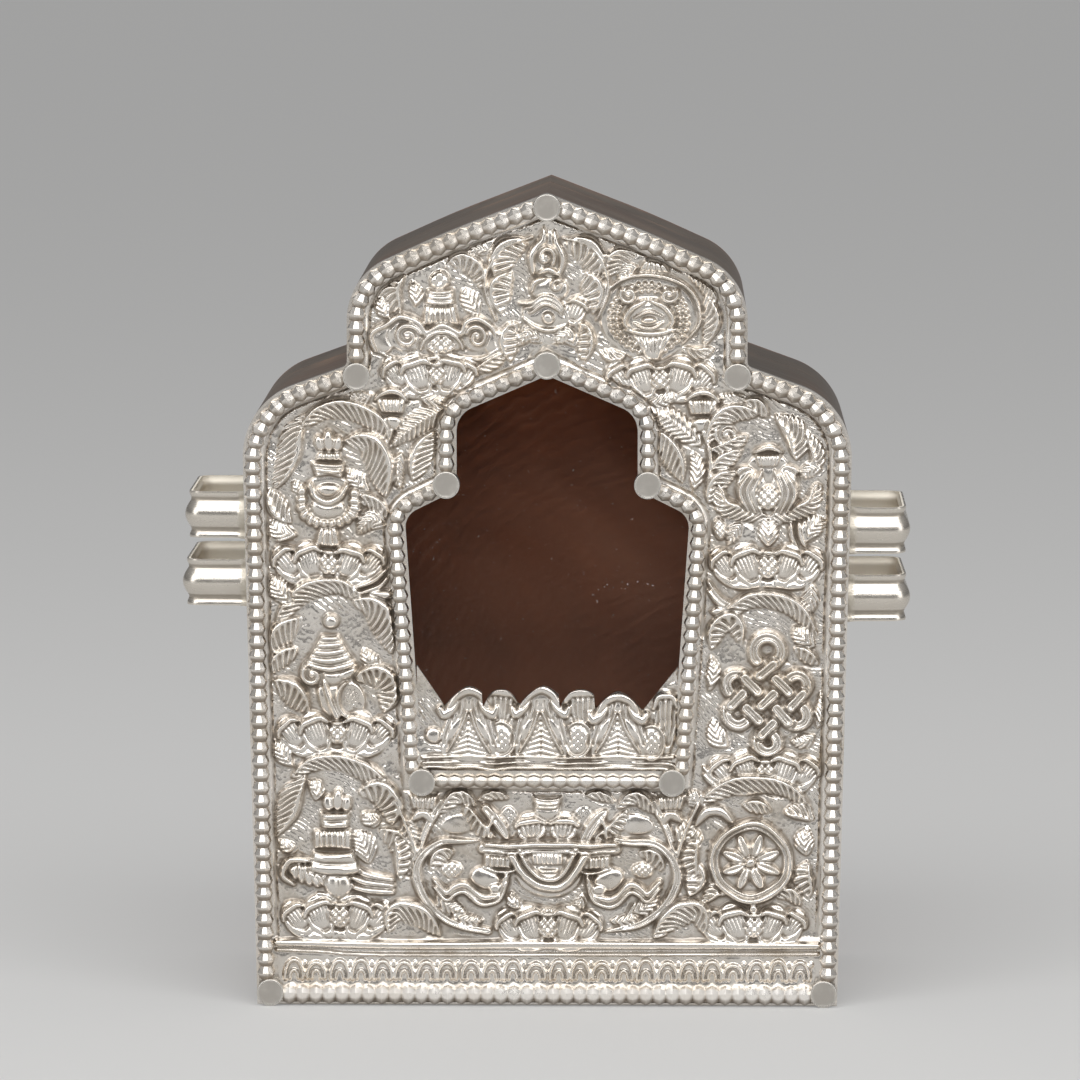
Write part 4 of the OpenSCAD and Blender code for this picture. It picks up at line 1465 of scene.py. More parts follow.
    def scratch(self, points: Sequence[Point], half: float, depth: float) -> None:
        """Chases one line into what is there."""
        knots = np.asarray(points, float)
        cut, x, z = self.local(knots, half + 0.4)
        near = np.full(x.shape, 1e6)
        for a, b in zip(knots, knots[1:]):
            way = b - a
            t = np.clip(((x - a[0]) * way[0] + (z - a[1]) * way[1]) / (way @ way), 0, 1)
            near = np.minimum(near, np.hypot(x - a[0] - t * way[0], z - a[1] - t * way[1]))
        self.height[cut] -= depth * np.exp(-(near / half) ** 2)

    def seat(self, x: float, z: float, left: float, right: float, boss: float = 2.0) -> None:
        """Lays a lotus seat seen from its side.

        Args:
            x: Its middle across.
            z: The height of its boss.
            left: How far its petals reach to the left.
            right: How far they reach to the right.
            boss: The cross-cut boss's half width.
        """
        for side, reach in ((-1, left), (1, right)):
            s = side * reach
            self.stroke([(x, z - 3.4), (x + s * 0.5, z - 3.2), (x + s * 0.8, z - 1.6),
                         (x + s * 0.96, z + 0.6)], 1.3, 0.9, (0.6, 0.2))
            self.petal((x + s * 0.55, z - 2.4), (x + s * 0.8, z + 1.1), 2.2, 1.4, 6)
            self.petal((x + s * 0.22, z - 3.0), (x + s * 0.38, z + 1.5), 2.6, 1.6, 7)
        self.dome(x, z, boss * 1.02, boss * 1.12, 1.75, cross=1.15)
        self.dome(x, z + boss * 1.12, boss * 0.8, 0.55, 1.7)

    def clouded(self, spread: float) -> Array:
        """Gives an even random field with clouds of one size, about -1 to 1."""
        field = softened(self.random.normal(0, 1, self.height.shape), spread, self.pitch)
        return field / field.std()

    def ground(self) -> None:
        """Beats the bare ground: soft dents, punch marks and patches of fine lines."""
        x, z = np.meshgrid(self.xs, self.zs)
        dents = self.clouded(1.3)
        marks = self.clouded(0.16)
        phase = (x * 0.55 + z * 0.83 + 1.5 * self.clouded(3.5)) * 2 * math.pi / 0.72
        patch = eased(self.clouded(2.6), -0.4, 0.5)
        self.height += 0.16 * dents + 0.04 * marks + 0.1 * np.cos(phase) * patch

    def handmade(self) -> None:
        """Makes what is drawn a little uneven, as hand work is."""
        rows, cols = np.indices(self.height.shape)
        rows = np.clip(rows + 0.13 * self.clouded(1.8) / self.pitch, 0, rows.max() - 1.001)
        cols = np.clip(cols + 0.13 * self.clouded(1.8) / self.pitch, 0, cols.max() - 1.001)
        i, j = rows.astype(int), cols.astype(int)
        p, q = rows - i, cols - j
        h = self.height
        self.height = ((h[i, j] * (1 - q) + h[i, j + 1] * q) * (1 - p)
                       + (h[i + 1, j] * (1 - q) + h[i + 1, j + 1] * q) * p)
        self.height = self.height * (1 + 0.07 * self.clouded(0.9)) + 0.035 * self.clouded(0.55)


class Ornament:
    """Everything chased on the front plate: nine emblems, their seats, leaves and borders."""

    def __init__(self, canvas: ReliefCanvas) -> None:
        """Keeps the canvas that it is drawn on."""
        self.c = canvas

    def flame(self, x: float, z: float) -> None:
        """Lays three buds that close to a flame."""
        for side in (-1, 1):
            self.c.dome(x + side * 1.7, z - 0.3, 1.15, 1.6, 1.3, side * -14)
        self.c.dome(x, z + 0.3, 1.15, 2.2, 1.6)

    def treasure_vase(self) -> None:
        """The vase, high on the left."""
        c = self.c
        c.frond([(-44.2, 109.4), (-46.4, 106), (-47.2, 102), (-49.8, 96.2)], 2.1)
        c.frond([(-44.2, 107.6), (-42, 109.6), (-38.6, 110.6), (-34.2, 109.8), (-31, 107.6),
                 (-29.4, 104.4)], 1.85, ends=(0.5, 0.3))
        c.frond([(-36.6, 104.6), (-32.8, 104.3), (-30.6, 100.6), (-29.5, 94.6)], 2.6, 1.5)
        c.leaf([(-36.8, 99.6), (-34.4, 97), (-32.2, 95.6)], 1.6)
        c.frond([(-36, 94.2), (-33, 94), (-30.6, 92.2), (-28.8, 89.6)], 1.4)
        c.leaf([(-34.6, 87.4), (-32.4, 90), (-29.2, 89)], 1.7, 1.3)
        c.frond([(-47, 89.8), (-48.8, 91.6), (-51, 96)], 1.7)
        c.leaf([(-50.8, 90.4), (-49, 88), (-45.8, 87.4)], 1.6)
        c.leaf([(-46.8, 97.6), (-45.6, 95.4), (-45.8, 93.4)], 1.0)
        self.flame(-39.9, 104.5)
        c.ribs(-39.9, 100.9, 102.8, 3.0, 2.1, 5, 1.4)
        c.ribs(-40.1, 96.7, 101, 2.1, 3.5, 4, 1.75, 0.3)
        c.dome(-40, 93.8, 5.2, 4.6, 0.7)
        c.stroke([(-44.9, 95), (-44.6, 91.9), (-42.4, 90.2), (-40, 89.8), (-37.6, 90.2),
                  (-35.4, 91.9), (-35.1, 95)], 1.5, 1.6, (0.75, 0.75), Profile.FLAT,
                 Hatch(1.3, 0.6, 0.0, False))
        c.dome(-40, 92.4, 3.4, 2.3, 1.5)
        c.dome(-40, 95.5, 2.5, 1.4, 1.4)
        c.stroke([(-43.4, 96.4), (-42.3, 94.3), (-40, 93.3), (-37.8, 94.3), (-36.6, 96.4)], 0.8,
                 1.5, (0.7, 0.7), lift=0.5)
        c.ribs(-40, 85.2, 89, 2.7, 1.7, 4, 1.5)
        c.seat(-39.8, 82.2, 11, 10.4)

    def conch(self) -> None:
        """The coiled shell, at the middle of the left."""
        c = self.c
        c.frond([(-49.6, 71), (-46.2, 75.4), (-42.2, 77.6), (-38.4, 78), (-35.2, 76.2)], 2.0, 1.6,
                ends=(0.15, 0.5))
        c.leaf([(-51, 80.2), (-49.4, 77.4), (-46.8, 74.6)], 1.6)
        for k in (0, 1):
            c.stroke([(-35.6 + k, 77.4 - k), (-32 + k, 78.6 - k), (-29.2, 81 - k * 1.4)], 0.55, 1.1,
                     (0.5, 0.5))
        c.stroke([(-33.4, 75.2), (-31.4, 76.1), (-29, 76.4)], 1.0, 1.4, (0.1, 1))
        c.frond([(-35.4, 75), (-31.8, 73.8), (-29.8, 70.8), (-28.8, 66)], 2.5, 1.5, 0.7)
        c.frond([(-51, 65.2), (-48.8, 69), (-45.2, 71.8)], 2.1, 1.4, -0.9)
        c.frond([(-51, 61.6), (-48.6, 64.6), (-45.6, 66.4)], 1.6, 1.3, -0.9)
        c.frond([(-50.8, 60), (-47.2, 58.6), (-44, 54.4)], 2.3, 1.4, 0.6)
        c.leaf([(-33.6, 66.4), (-32.2, 64), (-30, 62.8)], 1.4)
        c.frond([(-34, 61.2), (-30.8, 61.4), (-28.9, 58.6), (-30, 54.8)], 2.4, 1.4, 0.2, 1.15,
                ends=(0.5, 0.2))
        c.dome(-38.8, 58.8, 3.6, 5.4, 1.2)
        c.dome(-40, 62.6, 5.4, 3.2, 1.5)
        c.curl(-43.2, 61.6, 2.1, 1.2, 80, 0.6, 1.2, lift=0.8)
        c.dome(-36.6, 62.2, 1.7, 1.2, 0.9, 25, lift=0.9)
        c.dome(-35.8, 57, 2.5, 3.5, 0.9, 12)
        c.dome(-35.8, 57, 1.7, 2.6, 0.5, 12, 0.7, lift=0.3)
        c.stroke(arc(-35.9, 57, 2.5, 110, 300, 1.4), 0.6, 1.2, (0.6, 0.8), lift=0.5)
        c.stroke([(-41, 60.6), (-39.8, 57), (-38.5, 53.8)], 0.8, 1.4, (0.6, 1), lift=0.3)
        c.ribs(-39.8, 63.2, 70.2, 5.2, 1.7, 5, 1.9, 1.2)
        c.dome(-39.7, 71.4, 1.5, 1.4, 1.7)
        c.seat(-38.4, 50.5, 11.6, 10.6, 1.8)

    def parasol(self) -> None:
        """The parasol, low on the left."""
        c = self.c
        c.frond([(-44.6, 43.2), (-47, 39.4), (-48.2, 35.6), (-50.2, 31.2)], 2.2)
        c.frond([(-46.6, 42.8), (-42.6, 45), (-38, 45.2), (-33.4, 43.4), (-30.4, 40.6),
                 (-27.6, 36.6)], 1.9, 1.6, ends=(0.3, 0.1))
        c.leaf([(-50.4, 49.4), (-48.6, 46.6), (-46.4, 44.4)], 1.4)
        c.leaf([(-44, 41.8), (-42.4, 40.2), (-42.6, 38)], 1.2)
        c.frond([(-34.4, 39.6), (-31, 39.6), (-29, 37.4), (-28.6, 33.8)], 2.6, 1.5, 0.3)
        c.leaf([(-34, 36), (-32.4, 34.6), (-30.4, 34.6)], 1.3)
        c.leaf([(-35.4, 32.4), (-33.6, 30), (-32.8, 26.4)], 1.8, 1.0)
        c.frond([(-30.6, 32.6), (-27.4, 30.6), (-25.6, 27.6), (-25.4, 24.4)], 2.2, 1.3, 0.3)
        c.leaf([(-49.6, 30.4), (-47.8, 29.2), (-45.6, 29.4)], 1.2, 1.0)
        self.flame(-38.5, 38)
        c.ribs(-38.9, 33, 36.4, 2.6, 3.1, 2, 1.75, 0.3)
        c.stroke([(-38.2, 24.4), (-42.4, 23.9), (-46.6, 25.2)], 2.1, 1.5, (1, 0.8), Profile.FLAT,
                 Hatch(1.25, 0.5, 0.5, False))
        c.stroke([(-43.2, 27), (-47.4, 26.8), (-48.6, 24.2), (-46.6, 22.6)], 0.8, 1.6, (0.6, 0.6))
        for k in range(3):
            c.stroke([(-35.4 - k * 0.5, 25.6 - k * 1.5), (-32.2, 24.2 - k * 1.35),
                      (-28.4, 23.4 - k * 1.1)], 0.8, 1.6, (0.7, 0.7))
        c.stroke([(-42.4, 20.6), (-38.4, 19.6), (-34, 20.4)], 1.0, 0.9, (0.4, 0.4))
        c.stroke([(-38.5, 25.4), (-38.5, 22.6), (-38.5, 19.6)], 2.7, 1.4, (0.2, 0.1), Profile.RIMMED)
        c.ribs(-39.3, 25, 29.4, 5.0, 3.9, 2, 1.9, 0.9)
        c.ribs(-39.4, 29, 32.9, 3.7, 3.7, 7, 1.7)
        c.seat(-38.1, 16.4, 11, 9.8, 2.1)

    def open_lotus(self) -> None:
        """The open lotus, high on the right."""
        c = self.c
        c.frond([(35.4, 112), (38, 111.4), (40.4, 109.2)], 1.5, 1.3)
        c.frond([(29.4, 104.6), (31.2, 108.4), (34.2, 110.4), (38, 109.8)], 1.9, 1.6, ends=(0.3, 0.3))
        c.curl(32.8, 105.9, 2.2, 1.2, 160, 0.55, 1.0)
        c.frond([(30, 103), (33, 103.6), (36.6, 106)], 1.5)
        c.frond([(29.8, 98.8), (32, 100.8), (35.4, 103)], 1.5)
        c.frond([(29.6, 93.6), (31.2, 97), (34.4, 99)], 1.9)
        c.dome(31.6, 88.6, 1.4, 2.2, 1.2, cross=0.7)
        c.leaf([(33, 85.6), (34.4, 88), (35.8, 89.4)], 1.2)
        c.frond([(45.6, 101.6), (45.4, 105.8), (42, 109.6)], 2.2)
        c.frond([(48.4, 98.6), (49.4, 102.4), (47.4, 106.6)], 1.4, 1.1)
        c.leaf([(46.4, 97.6), (48, 99.6), (50.4, 99.8)], 1.2, 1.0)
        c.leaf([(50.8, 91), (48.4, 88.6), (47.4, 85.8)], 1.6)
        for x in (44.8, 46.4):
            c.stroke([(x - 0.4, 89.6), (x, 87.4), (x + 1, 85.4)], 0.6, 1.1, (0.6, 0.6))
        c.dome(40.3, 95.6, 5.4, 7.2, 0.7)
        for x in (36, 44.4):
            c.dome(x, 99.2, 1.8, 1.2, 1.2)
        c.ribs(40.3, 99.8, 102.4, 2.0, 2.7, 6, 1.3)
        c.stroke([(37.6, 102.6), (40.2, 103.6), (42.9, 102.6)], 0.7, 1.6, (0.4, 0.4))
        for side in (-1, 1):
            c.frond([(40.3 + s * side, z) for s, z in ((0.8, 90.5), (4.6, 91.4), (8, 93), (9, 96.2))][
                ::side], 1.6, 1.5, 0.9 * side, 1.15, (0.4, 0.6))
            c.dome(40.3 + side * 2.8, 95.4, 2.9, 4.5, 1.3, side * -12)
            for k in range(3):
                reach = 2.6 + k * 1.15
                c.stroke([(40.3 + side * (reach - 1.4), 99.4 - k * 0.3), (40.3 + side * reach, 95.4),
                          (40.3 + side * (reach - 1.6), 91.6)], 0.5, 0.7, (0.4, 0.4), lift=1.0)
        c.dome(40.3, 94.5, 2.4, 2.5, 1.9, cross=1.1, lift=0.4)
        c.leaf([(40.3, 90.8), (40.4, 88.4), (40.3, 85.2)], 1.5, 1.4)
        c.seat(40.4, 81.9, 11, 10.4, 2.2)

    def endless_knot(self) -> None:
        """The endless knot, at the middle of the right."""
        c = self.c
        for k in (0, 1):
            c.stroke([(29.4, 78.8 - k * 1.5), (31.6, 75.8 - k), (34.4, 74.4 - k)], 0.6, 1.2, (0.5, 0.5))
        c.leaf([(46.6, 72.6), (48, 75.6), (48.4, 79)], 1.5, 1.3)
        c.frond([(33.6, 73.6), (37.4, 75.5), (42, 75.4), (45.8, 73.6), (49.4, 69.2)], 1.75, 1.7,
                ends=(0.6, 0.1))
        c.stroke([(30, 73.6), (31.6, 73.4), (33.4, 72.4)], 1.1, 1.5, (0.3, 0.8))
        c.frond([(30, 66.4), (31.4, 70.2), (34, 71.6), (35.6, 67.4)], 1.9, 1.3, 0.4)
        c.leaf([(45, 70.8), (47, 68.8), (49.2, 67)], 1.5, 1.3)
        c.frond([(45.4, 66.6), (47.4, 65.6), (49.8, 63.6)], 1.4, 1.2, 0.4)
        c.leaf([(29.8, 65), (30.6, 62), (29.8, 58.4)], 1.1)
        c.leaf([(30.4, 53.4), (31, 50.4), (33.4, 48.2)], 1.6, 1.0)
        c.leaf([(50.2, 58.6), (50.6, 55.4), (49.4, 51.6)], 1.1)
        c.leaf([(44.6, 49.6), (47, 49.4), (49.2, 50.6)], 1.2, 1.0)
        pitch, half, far = 3.8, 1.42, 5.7
        middle = (40.4, 57.2)
        c.dome(*middle, 8.0, 7.6, 0.35)

        def flat(u: float, v: float) -> Point:
            """Turns a place on the knot's slanted grid into one on the plate."""
            return (middle[0] + (u - v) / math.sqrt(2), middle[1] + (u + v) / math.sqrt(2))

        def strand(places: Iterable[Point], height: float) -> None:
            """Lays one strand through places on the slanted grid."""
            c.stroke([flat(u, v) for u, v in places], half, height, profile=Profile.FURROWED)

        for k in (-1, 0, 1):
            strand(((u, k * pitch) for u in (-far, 0, far)), 1.35)
            strand(((k * pitch, v) for v in (-far, 0, far)), 1.35)
        turn = pitch / 2
        for u, v, reach, first, last in (
                (-turn, far, turn, 0, 180), (turn, -far, turn, 180, 360),
                (-far, turn, turn, 90, 270), (far, -turn, turn, -90, 90),
                (pitch + 2.5, pitch + 2.5, 2.5, -90, 180), (-pitch - 1.8, -pitch - 1.8, 1.8, 90, 360)):
            strand(arc(u, v, reach, first, last), 1.6)
        for j in (-1, 0, 1):
            for k in (-1, 0, 1):
                du, dv = (1.6, 0.0) if (j + k) % 2 == 0 else (0.0, 1.6)
                strand([(j * pitch + s * du, k * pitch + s * dv) for s in (-1, 0, 1)], 1.75)
        c.seat(40.2, 43.6, 10.4, 10, 1.9)

    def wheel(self) -> None:
        """The wheel with eight spokes, low on the right."""
        c = self.c
        for k in (0, 1):
            c.stroke([(28.8, 44.8 - k * 1.5), (30.4, 42.6 - k), (32.6, 41.4 - k)], 0.6, 1.1, (0.5, 0.5))
        c.frond([(27.2, 36.4), (30.6, 39.4), (35, 41.2), (40, 41.4), (44.2, 40.4), (48.4, 36.8)], 1.8,
                1.6, ends=(0.1, 0.2))
        c.leaf([(25.4, 39.8), (27.2, 38.6), (28.4, 36.8)], 1.4)
        c.stroke([(27.4, 33.6), (29.4, 36.2), (32, 36.4), (34, 34.6)], 1.2, 1.5, (0.3, 0.5))
        c.frond([(36.2, 37.4), (38.6, 37), (41.4, 36)], 1.4, 1.3)
        c.frond([(49, 34.8), (46.6, 36.4), (43.6, 36.2)], 1.4, 1.2)
        for side, x in ((-1, 27), (1, 47.4)):
            c.leaf([(x + side * 0.6, 33.6), (x, 31), (x + side * 0.4, 28.2)], 1.5)
            c.frond([(x + side * 0.4, 27), (x - side * 0.4, 24), (x + side * 0.8, 20.4)], 1.9, 1.3, 0.3)
        c.frond([(33.6, 20.6), (31, 21.4), (28.6, 19)], 1.4)
        c.frond([(42, 20.4), (44.6, 20.8), (46.8, 18.8)], 1.3)
        x, z = 37.5, 26.8
        c.dome(x, z, 7.6, height=0.5)
        for k in range(24):
            a = math.radians(15 * k)
            c.scratch([(x + r * math.cos(a), z + r * math.sin(a)) for r in (6.9, 8.2)], 0.2, 0.25)
        c.dome(x, z, 6.0, height=0.3, lift=0.0)
        for k in range(8):
            a = math.radians(22.5 + 45 * k)
            c.stroke([(x + r * math.cos(a), z + r * math.sin(a)) for r in (1.0, 3.0, 5.0)], 1.35, 1.3,
                     (0.2, 0.5), Profile.FURROWED)
        c.dome(x, z, 1.1, height=1.5)
        for reach, half, height in ((6.2, 0.4, 1.0), (7.2, 0.7, 1.6)):
            c.stroke(arc(x, z, reach, 90, 450), half, height, lift=0.2)
        c.dome(38, 18.2, 1.0, 1.0, 1.3)
        c.seat(38.1, 14.9, 10, 9.6, 2.0)

    def offerings(self) -> None:
        """The offering bowl between two fish, under the window."""
        c = self.c
        for side in (-1, 1):
            at = partial(mirrored, side)
            c.frond(at((27.4, 31.6), (26.4, 27.6), (27, 23.4)), 1.6, 1.2, 0.3)
            c.leaf(at((26.8, 35.6), (25.4, 32.6), (23.8, 29.4)), 1.2, 1.0)
            c.stroke(at((27.8, 37.6), (25.4, 32), (23.9, 27.4)), 0.5, 1.2)
            c.stroke(at((18.6, 38.8), (21.6, 33.6), (23.6, 28.4)), 0.5, 1.2)
            c.stroke(at((19.8, 38.4), (22.3, 33.8), (23.4, 30.8)), 0.35, 1.0)
            c.stroke(at((21.4, 34.2), (22.8, 35.8), (24.6, 34.6)), 1.2, 1.3, (0.5, 0.5))
            c.ribs(side * 22.9, 36.3, 39.5, 2.0, 2.9, 5, 1.5)
            c.frond(at((13, 37), (16.4, 39), (20, 36)), 1.5, 1.4)
            c.frond(at((6.8, 38.6), (9.6, 39.2), (12.6, 38)), 1.0, 1.1)
            c.dome(side * 16.4, 33.8, 3.4, 1.9, 0.5, side * -8)
            c.dome(side * 6.8, 34.2, 2.0, 3.0, 0.5, cross=0.8)
            c.frond(at((9.4, 31.2), (12.6, 33.2), (15, 36.4)), 1.3, 1.3, 0.4, ends=(0.7, 0.1))
            c.stroke(at((7, 31), (8.4, 33.6), (11.2, 36.6)), 1.5, 1.5, (0.8, 0.05), Profile.FURROWED)
            c.stroke(at((10.8, 31.2), (10.6, 33.4), (9.6, 35.4)), 0.5, 1.3, (0.8, 0.2))
            c.leaf(at((26, 20), (24, 17.6), (20.4, 14.4)), 1.2)
            scroll = at((12.6, 30.9), (16, 30.6), (20, 30.2), (23.2, 27.4), (23.9, 23.4), (22, 19.2),
                        (17.6, 15.4), (10.6, 13.7))
            c.stroke(scroll, 1.1, 1.6, (0.7, 0.2), Profile.FURROWED)
            c.frond(at((19.8, 12.9), (23.4, 16.6), (27.8, 17.4), (29, 13.6)), 2.2, 1.4)
            c.frond(at((17, 28.6), (19.6, 27.8), (21.4, 25.2)), 1.5, 1.1, 0.5)
            c.dome(side * 17.6, 25.2, 2.2, 1.6, 0.8, cross=0.8)
            c.leaf(at((20.6, 21), (18, 18.4), (14.6, 16.8)), 1.3)
            c.leaf(at((17.4, 16.6), (14.4, 15.8), (11.4, 15.8)), 0.9)
            c.dome(side * 11.4, 23.4, 3.0, 2.2, 0.9, side * 20)
            for low, half in ((0.0, 0.75), (-1.3, 0.5)):
                c.stroke(at(*((x, z + low) for x, z in (
                    (7.4, 24.2), (8.6, 21), (11, 19.9), (13, 20.4), (15.2, 22.4), (17, 22), (18.6, 21),
                    (20.8, 23.2)))), half * 1.2, 1.7, (0.5, 0.7), lift=0.3)
            c.dome(side * 9.6, 21.6, 1.5, 1.2, 1.3)
            c.stroke(at((5.4, 25.2), (8.6, 24.8), (11.6, 25.6)), 0.4, 1.2)
            c.ribs(side * 9.1, 25.4, 28.8, 2.7, 2.7, 5, 1.6)
            c.leaf(at((4.4, 17.4), (6.2, 19.2), (6.4, 21)), 1.1)
        c.petal((-2.6, 30.8), (-2.9, 33.6), 2.5, 1.5, 5)
        c.petal((3, 30.8), (3.2, 33.6), 2.5, 1.5, 5)
        c.dome(0.2, 36.6, 2.4, 2.4, 1.0)
        c.ribs(0.1, 37, 39.4, 2.2, 2.9, 3, 1.6, 0.6)
        c.dome(0.3, 24.6, 6.2, 4.6, 1.0)
        c.stroke([(-11.6, 29.3), (0.4, 29.1), (12.4, 29.3)], 1.3, 1.2, (1, 1), Profile.FLAT)
        c.ribs(0.3, 26, 28.9, 2.9, 3.1, 7, 1.3, lift=0.3)
        c.ribs(0.3, 23.9, 25.9, 1.8, 2.2, 2, 1.4, 0.2, lift=0.3)
        for k, half in ((0, 0.6), (1, 1.0)):
            c.stroke([(0.3 + s * (1 + 0.25 * k), z - 1.5 * k) for s, z in (
                (-5.4, 29.8), (-3.8, 26.4), (-2, 24.2), (0, 23.7), (2, 24.2), (3.8, 26.4), (5.4, 29.8))],
                     half, 1.7, lift=0.4)
        c.stroke([(-11.8, 28.8), (0.4, 28.6), (12.6, 28.8)], 0.3, 1.3, (1, 1))
        c.stroke([(-11.2, 30.2), (0.4, 30), (12.6, 30.2)], 0.75, 2.0, (0.9, 0.9))
        c.ribs(0, 16, 18.2, 2.4, 2.4, 5, 1.4)
        c.seat(0.3, 14.6, 9.6, 9.8, 2.1)

    def shoulders(self) -> None:
        """The leaves over the window's shoulders, alike on both sides."""
        c = self.c
        for side in (-1, 1):
            at = partial(mirrored, side)
            c.ribs(side * 28.3, 109.6, 112.8, 2.2, 3.3, 6, 1.4)
            c.stroke(arc(side * 28.3, 111.2, 3.3, 20, 160, 0.8), 0.75, 1.6, (0.4, 0.4))
            c.dome(side * 28.3, 107.8, 2.3, 1.6, 1.4)
            c.leaf(at((31.4, 113.4), (33.8, 112.4), (36.6, 113)), 1.2, 1.0)
            c.stroke(at((17.4, 110.9), (22.6, 108.6), (28.6, 103.6)), 2.4, 1.5,
                     (0.1, 0.1), Profile.RIMMED, Hatch(1.15, 0.65, 0.9))
            c.stroke(at((28.6, 106.4), (29.6, 102.6), (29.4, 96.8)), 0.5, 1.2)
            c.leaf(at((26.4, 103), (27.3, 99.4), (26.6, 95.4)), 1.2, 1.3)
            c.frond(at((20, 106.6), (22.6, 102.6), (24.4, 97.4)), 2.1, 1.3)
            c.leaf(at((23.6, 113), (20.6, 112), (18.4, 112.4)), 1.1, 1.0)

    def banner(self) -> None:
        """The victory banner on its cloud, on the left of the top."""
        c = self.c
        c.frond([(-26, 136), (-28.6, 132.4), (-27.2, 127.8)], 2.1, 1.3, 0.5)
        c.leaf([(-30.8, 131.4), (-30.2, 128.8), (-28.6, 126.8)], 1.1)
        c.frond([(-18.4, 136.6), (-15.6, 137.6), (-12.6, 135.6), (-11.6, 132)], 1.8, 1.4, 0.3)
        c.leaf([(-14.6, 139), (-12.4, 139.8), (-10.4, 139)], 1.1, 1.0)
        c.leaf([(-15.4, 132.6), (-13.8, 130), (-12.4, 127.4)], 1.4, 1.0)
        c.leaf([(-24.6, 134), (-23.8, 131.4), (-24, 129)], 1.1, 1.0)
        c.dome(-19.6, 134.2, 2.1, 1.9, 1.6, cross=2.0)
        c.ribs(-19.4, 129.9, 132.9, 3.0, 2.6, 3, 1.7, 0.3)
        c.ribs(-19.4, 126, 129.8, 3.6, 2.9, 7, 1.6)
        for x, z, wide in ((-30, 123.4, 2.6), (-25.6, 124, 3.6), (-19.2, 123.6, 4.6), (-12.8, 124, 3.4),
                           (-9.4, 122.8, 2.2)):
            c.dome(x, z, wide, 2.9, 0.9)
        c.stroke([(-31.4, 121.2), (-32, 124.4), (-29.2, 126), (-26.8, 127.4), (-23.6, 126.6),
                  (-22.2, 124.6), (-19.2, 126), (-16, 124.6), (-14.8, 126.6), (-12.4, 127.2),
                  (-9.8, 125.6), (-8.6, 122.8)], 0.8, 1.6, (0.5, 0.5), lift=0.3)
        c.curl(-25.4, 123.9, 2.3, 1.4, 20, 0.55, 1.2, lift=0.6)
        c.curl(-12.8, 124, 2.2, -1.4, 160, 0.55, 1.2, lift=0.6)
        c.stroke(arc(-19.3, 121.4, 3.7, 5, 175, 0.95), 0.55, 1.4, (0.6, 0.6), lift=0.3)
        c.dome(-19.4, 122.3, 2.7, 2.1, 1.3, cross=1.25, lift=0.3)
        c.stroke([(-31, 121), (-27, 119.7), (-19, 120), (-12, 119.8), (-7.6, 122.2)], 0.6, 1.2,
                 (0.3, 0.3))
        c.frond([(-13.4, 117.2), (-10.4, 118.6), (-7.2, 120.6)], 1.3, 1.2)
        c.seat(-20.2, 116.8, 10, 6.8, 1.8)

    def jewel(self) -> None:
        """The flaming jewel, in the middle of the top."""
        c = self.c
        for side in (-1, 1):
            at = partial(mirrored, side)
            c.frond(at((3.8, 141.6), (7.6, 139), (9, 134.6)), 2.5, 1.5, 0.6)
            c.frond(at((6.4, 135.4), (8.6, 132.4), (8.6, 128.4)), 2.3, 1.2, 0.3)
            c.stroke(at((2.8, 142), (7.6, 140.4), (10.6, 136), (11.2, 131.6), (9.2, 127)), 0.42, 1.3,
                     (0.6, 0.6))
            c.frond(at((5, 125.8), (6.8, 124.6), (6.6, 119.4)), 1.9, 1.4, 0.1)
            c.leaf(at((1, 122.6), (3.4, 124.2), (5, 122)), 1.3, 1.0)
        c.dome(0, 138.6, 2.9, 4.8, 0.9)
        c.dome(0.4, 132.6, 3.6, 2.6, 1.2)
        c.stroke([(-2.4, 135.6), (-2.8, 139), (-0.8, 141.4), (-0.6, 144.2)], 1.0, 1.5, (0.5, 0.1))
        c.stroke([(2.4, 135.6), (3, 138.4), (1.6, 141), (1.2, 143.6)], 0.9, 1.4, (0.5, 0.1))
        c.curl(-0.2, 138.6, 1.8, 1.2, -40, 0.6, 1.4, lift=0.4)
        c.stroke([(-1.6, 135.4), (0.4, 136.4), (2.6, 135)], 0.7, 1.5, (0.3, 0.3))
        c.curl(1.9, 133.3, 1.2, 1.0, 60, 0.45, 1.2, lift=0.8)
        c.stroke([(-2.6, 132), (-2, 134), (0, 134.9)], 0.6, 1.2, (0.4, 0.3), lift=0.6)
        c.dome(0.2, 128, 5.0, 2.9, 0.9)
        for k in range(3):
            c.stroke([(-5.2 + k * 0.9, 129.8 - k * 0.9), (-2.6, 130 - k * 0.8), (-0.4, 131.5 - k * 0.8),
                      (1.8, 130.6 - k * 0.8), (3.4 - k * 0.3, 128.6 - k * 0.4)], 0.5, 1.5, (0.4, 0.3),
                     lift=0.4)
        c.petal((4.6, 126.6), (5.8, 129.6), 1.9, 1.4, 5)
        c.dome(0.1, 127.3, 1.3, 1.2, 1.6, lift=0.5)
        c.stroke([(-4.6, 127.2), (-2.4, 125.6), (0.4, 125), (3.4, 126)], 0.6, 1.2, (0.3, 0.3))

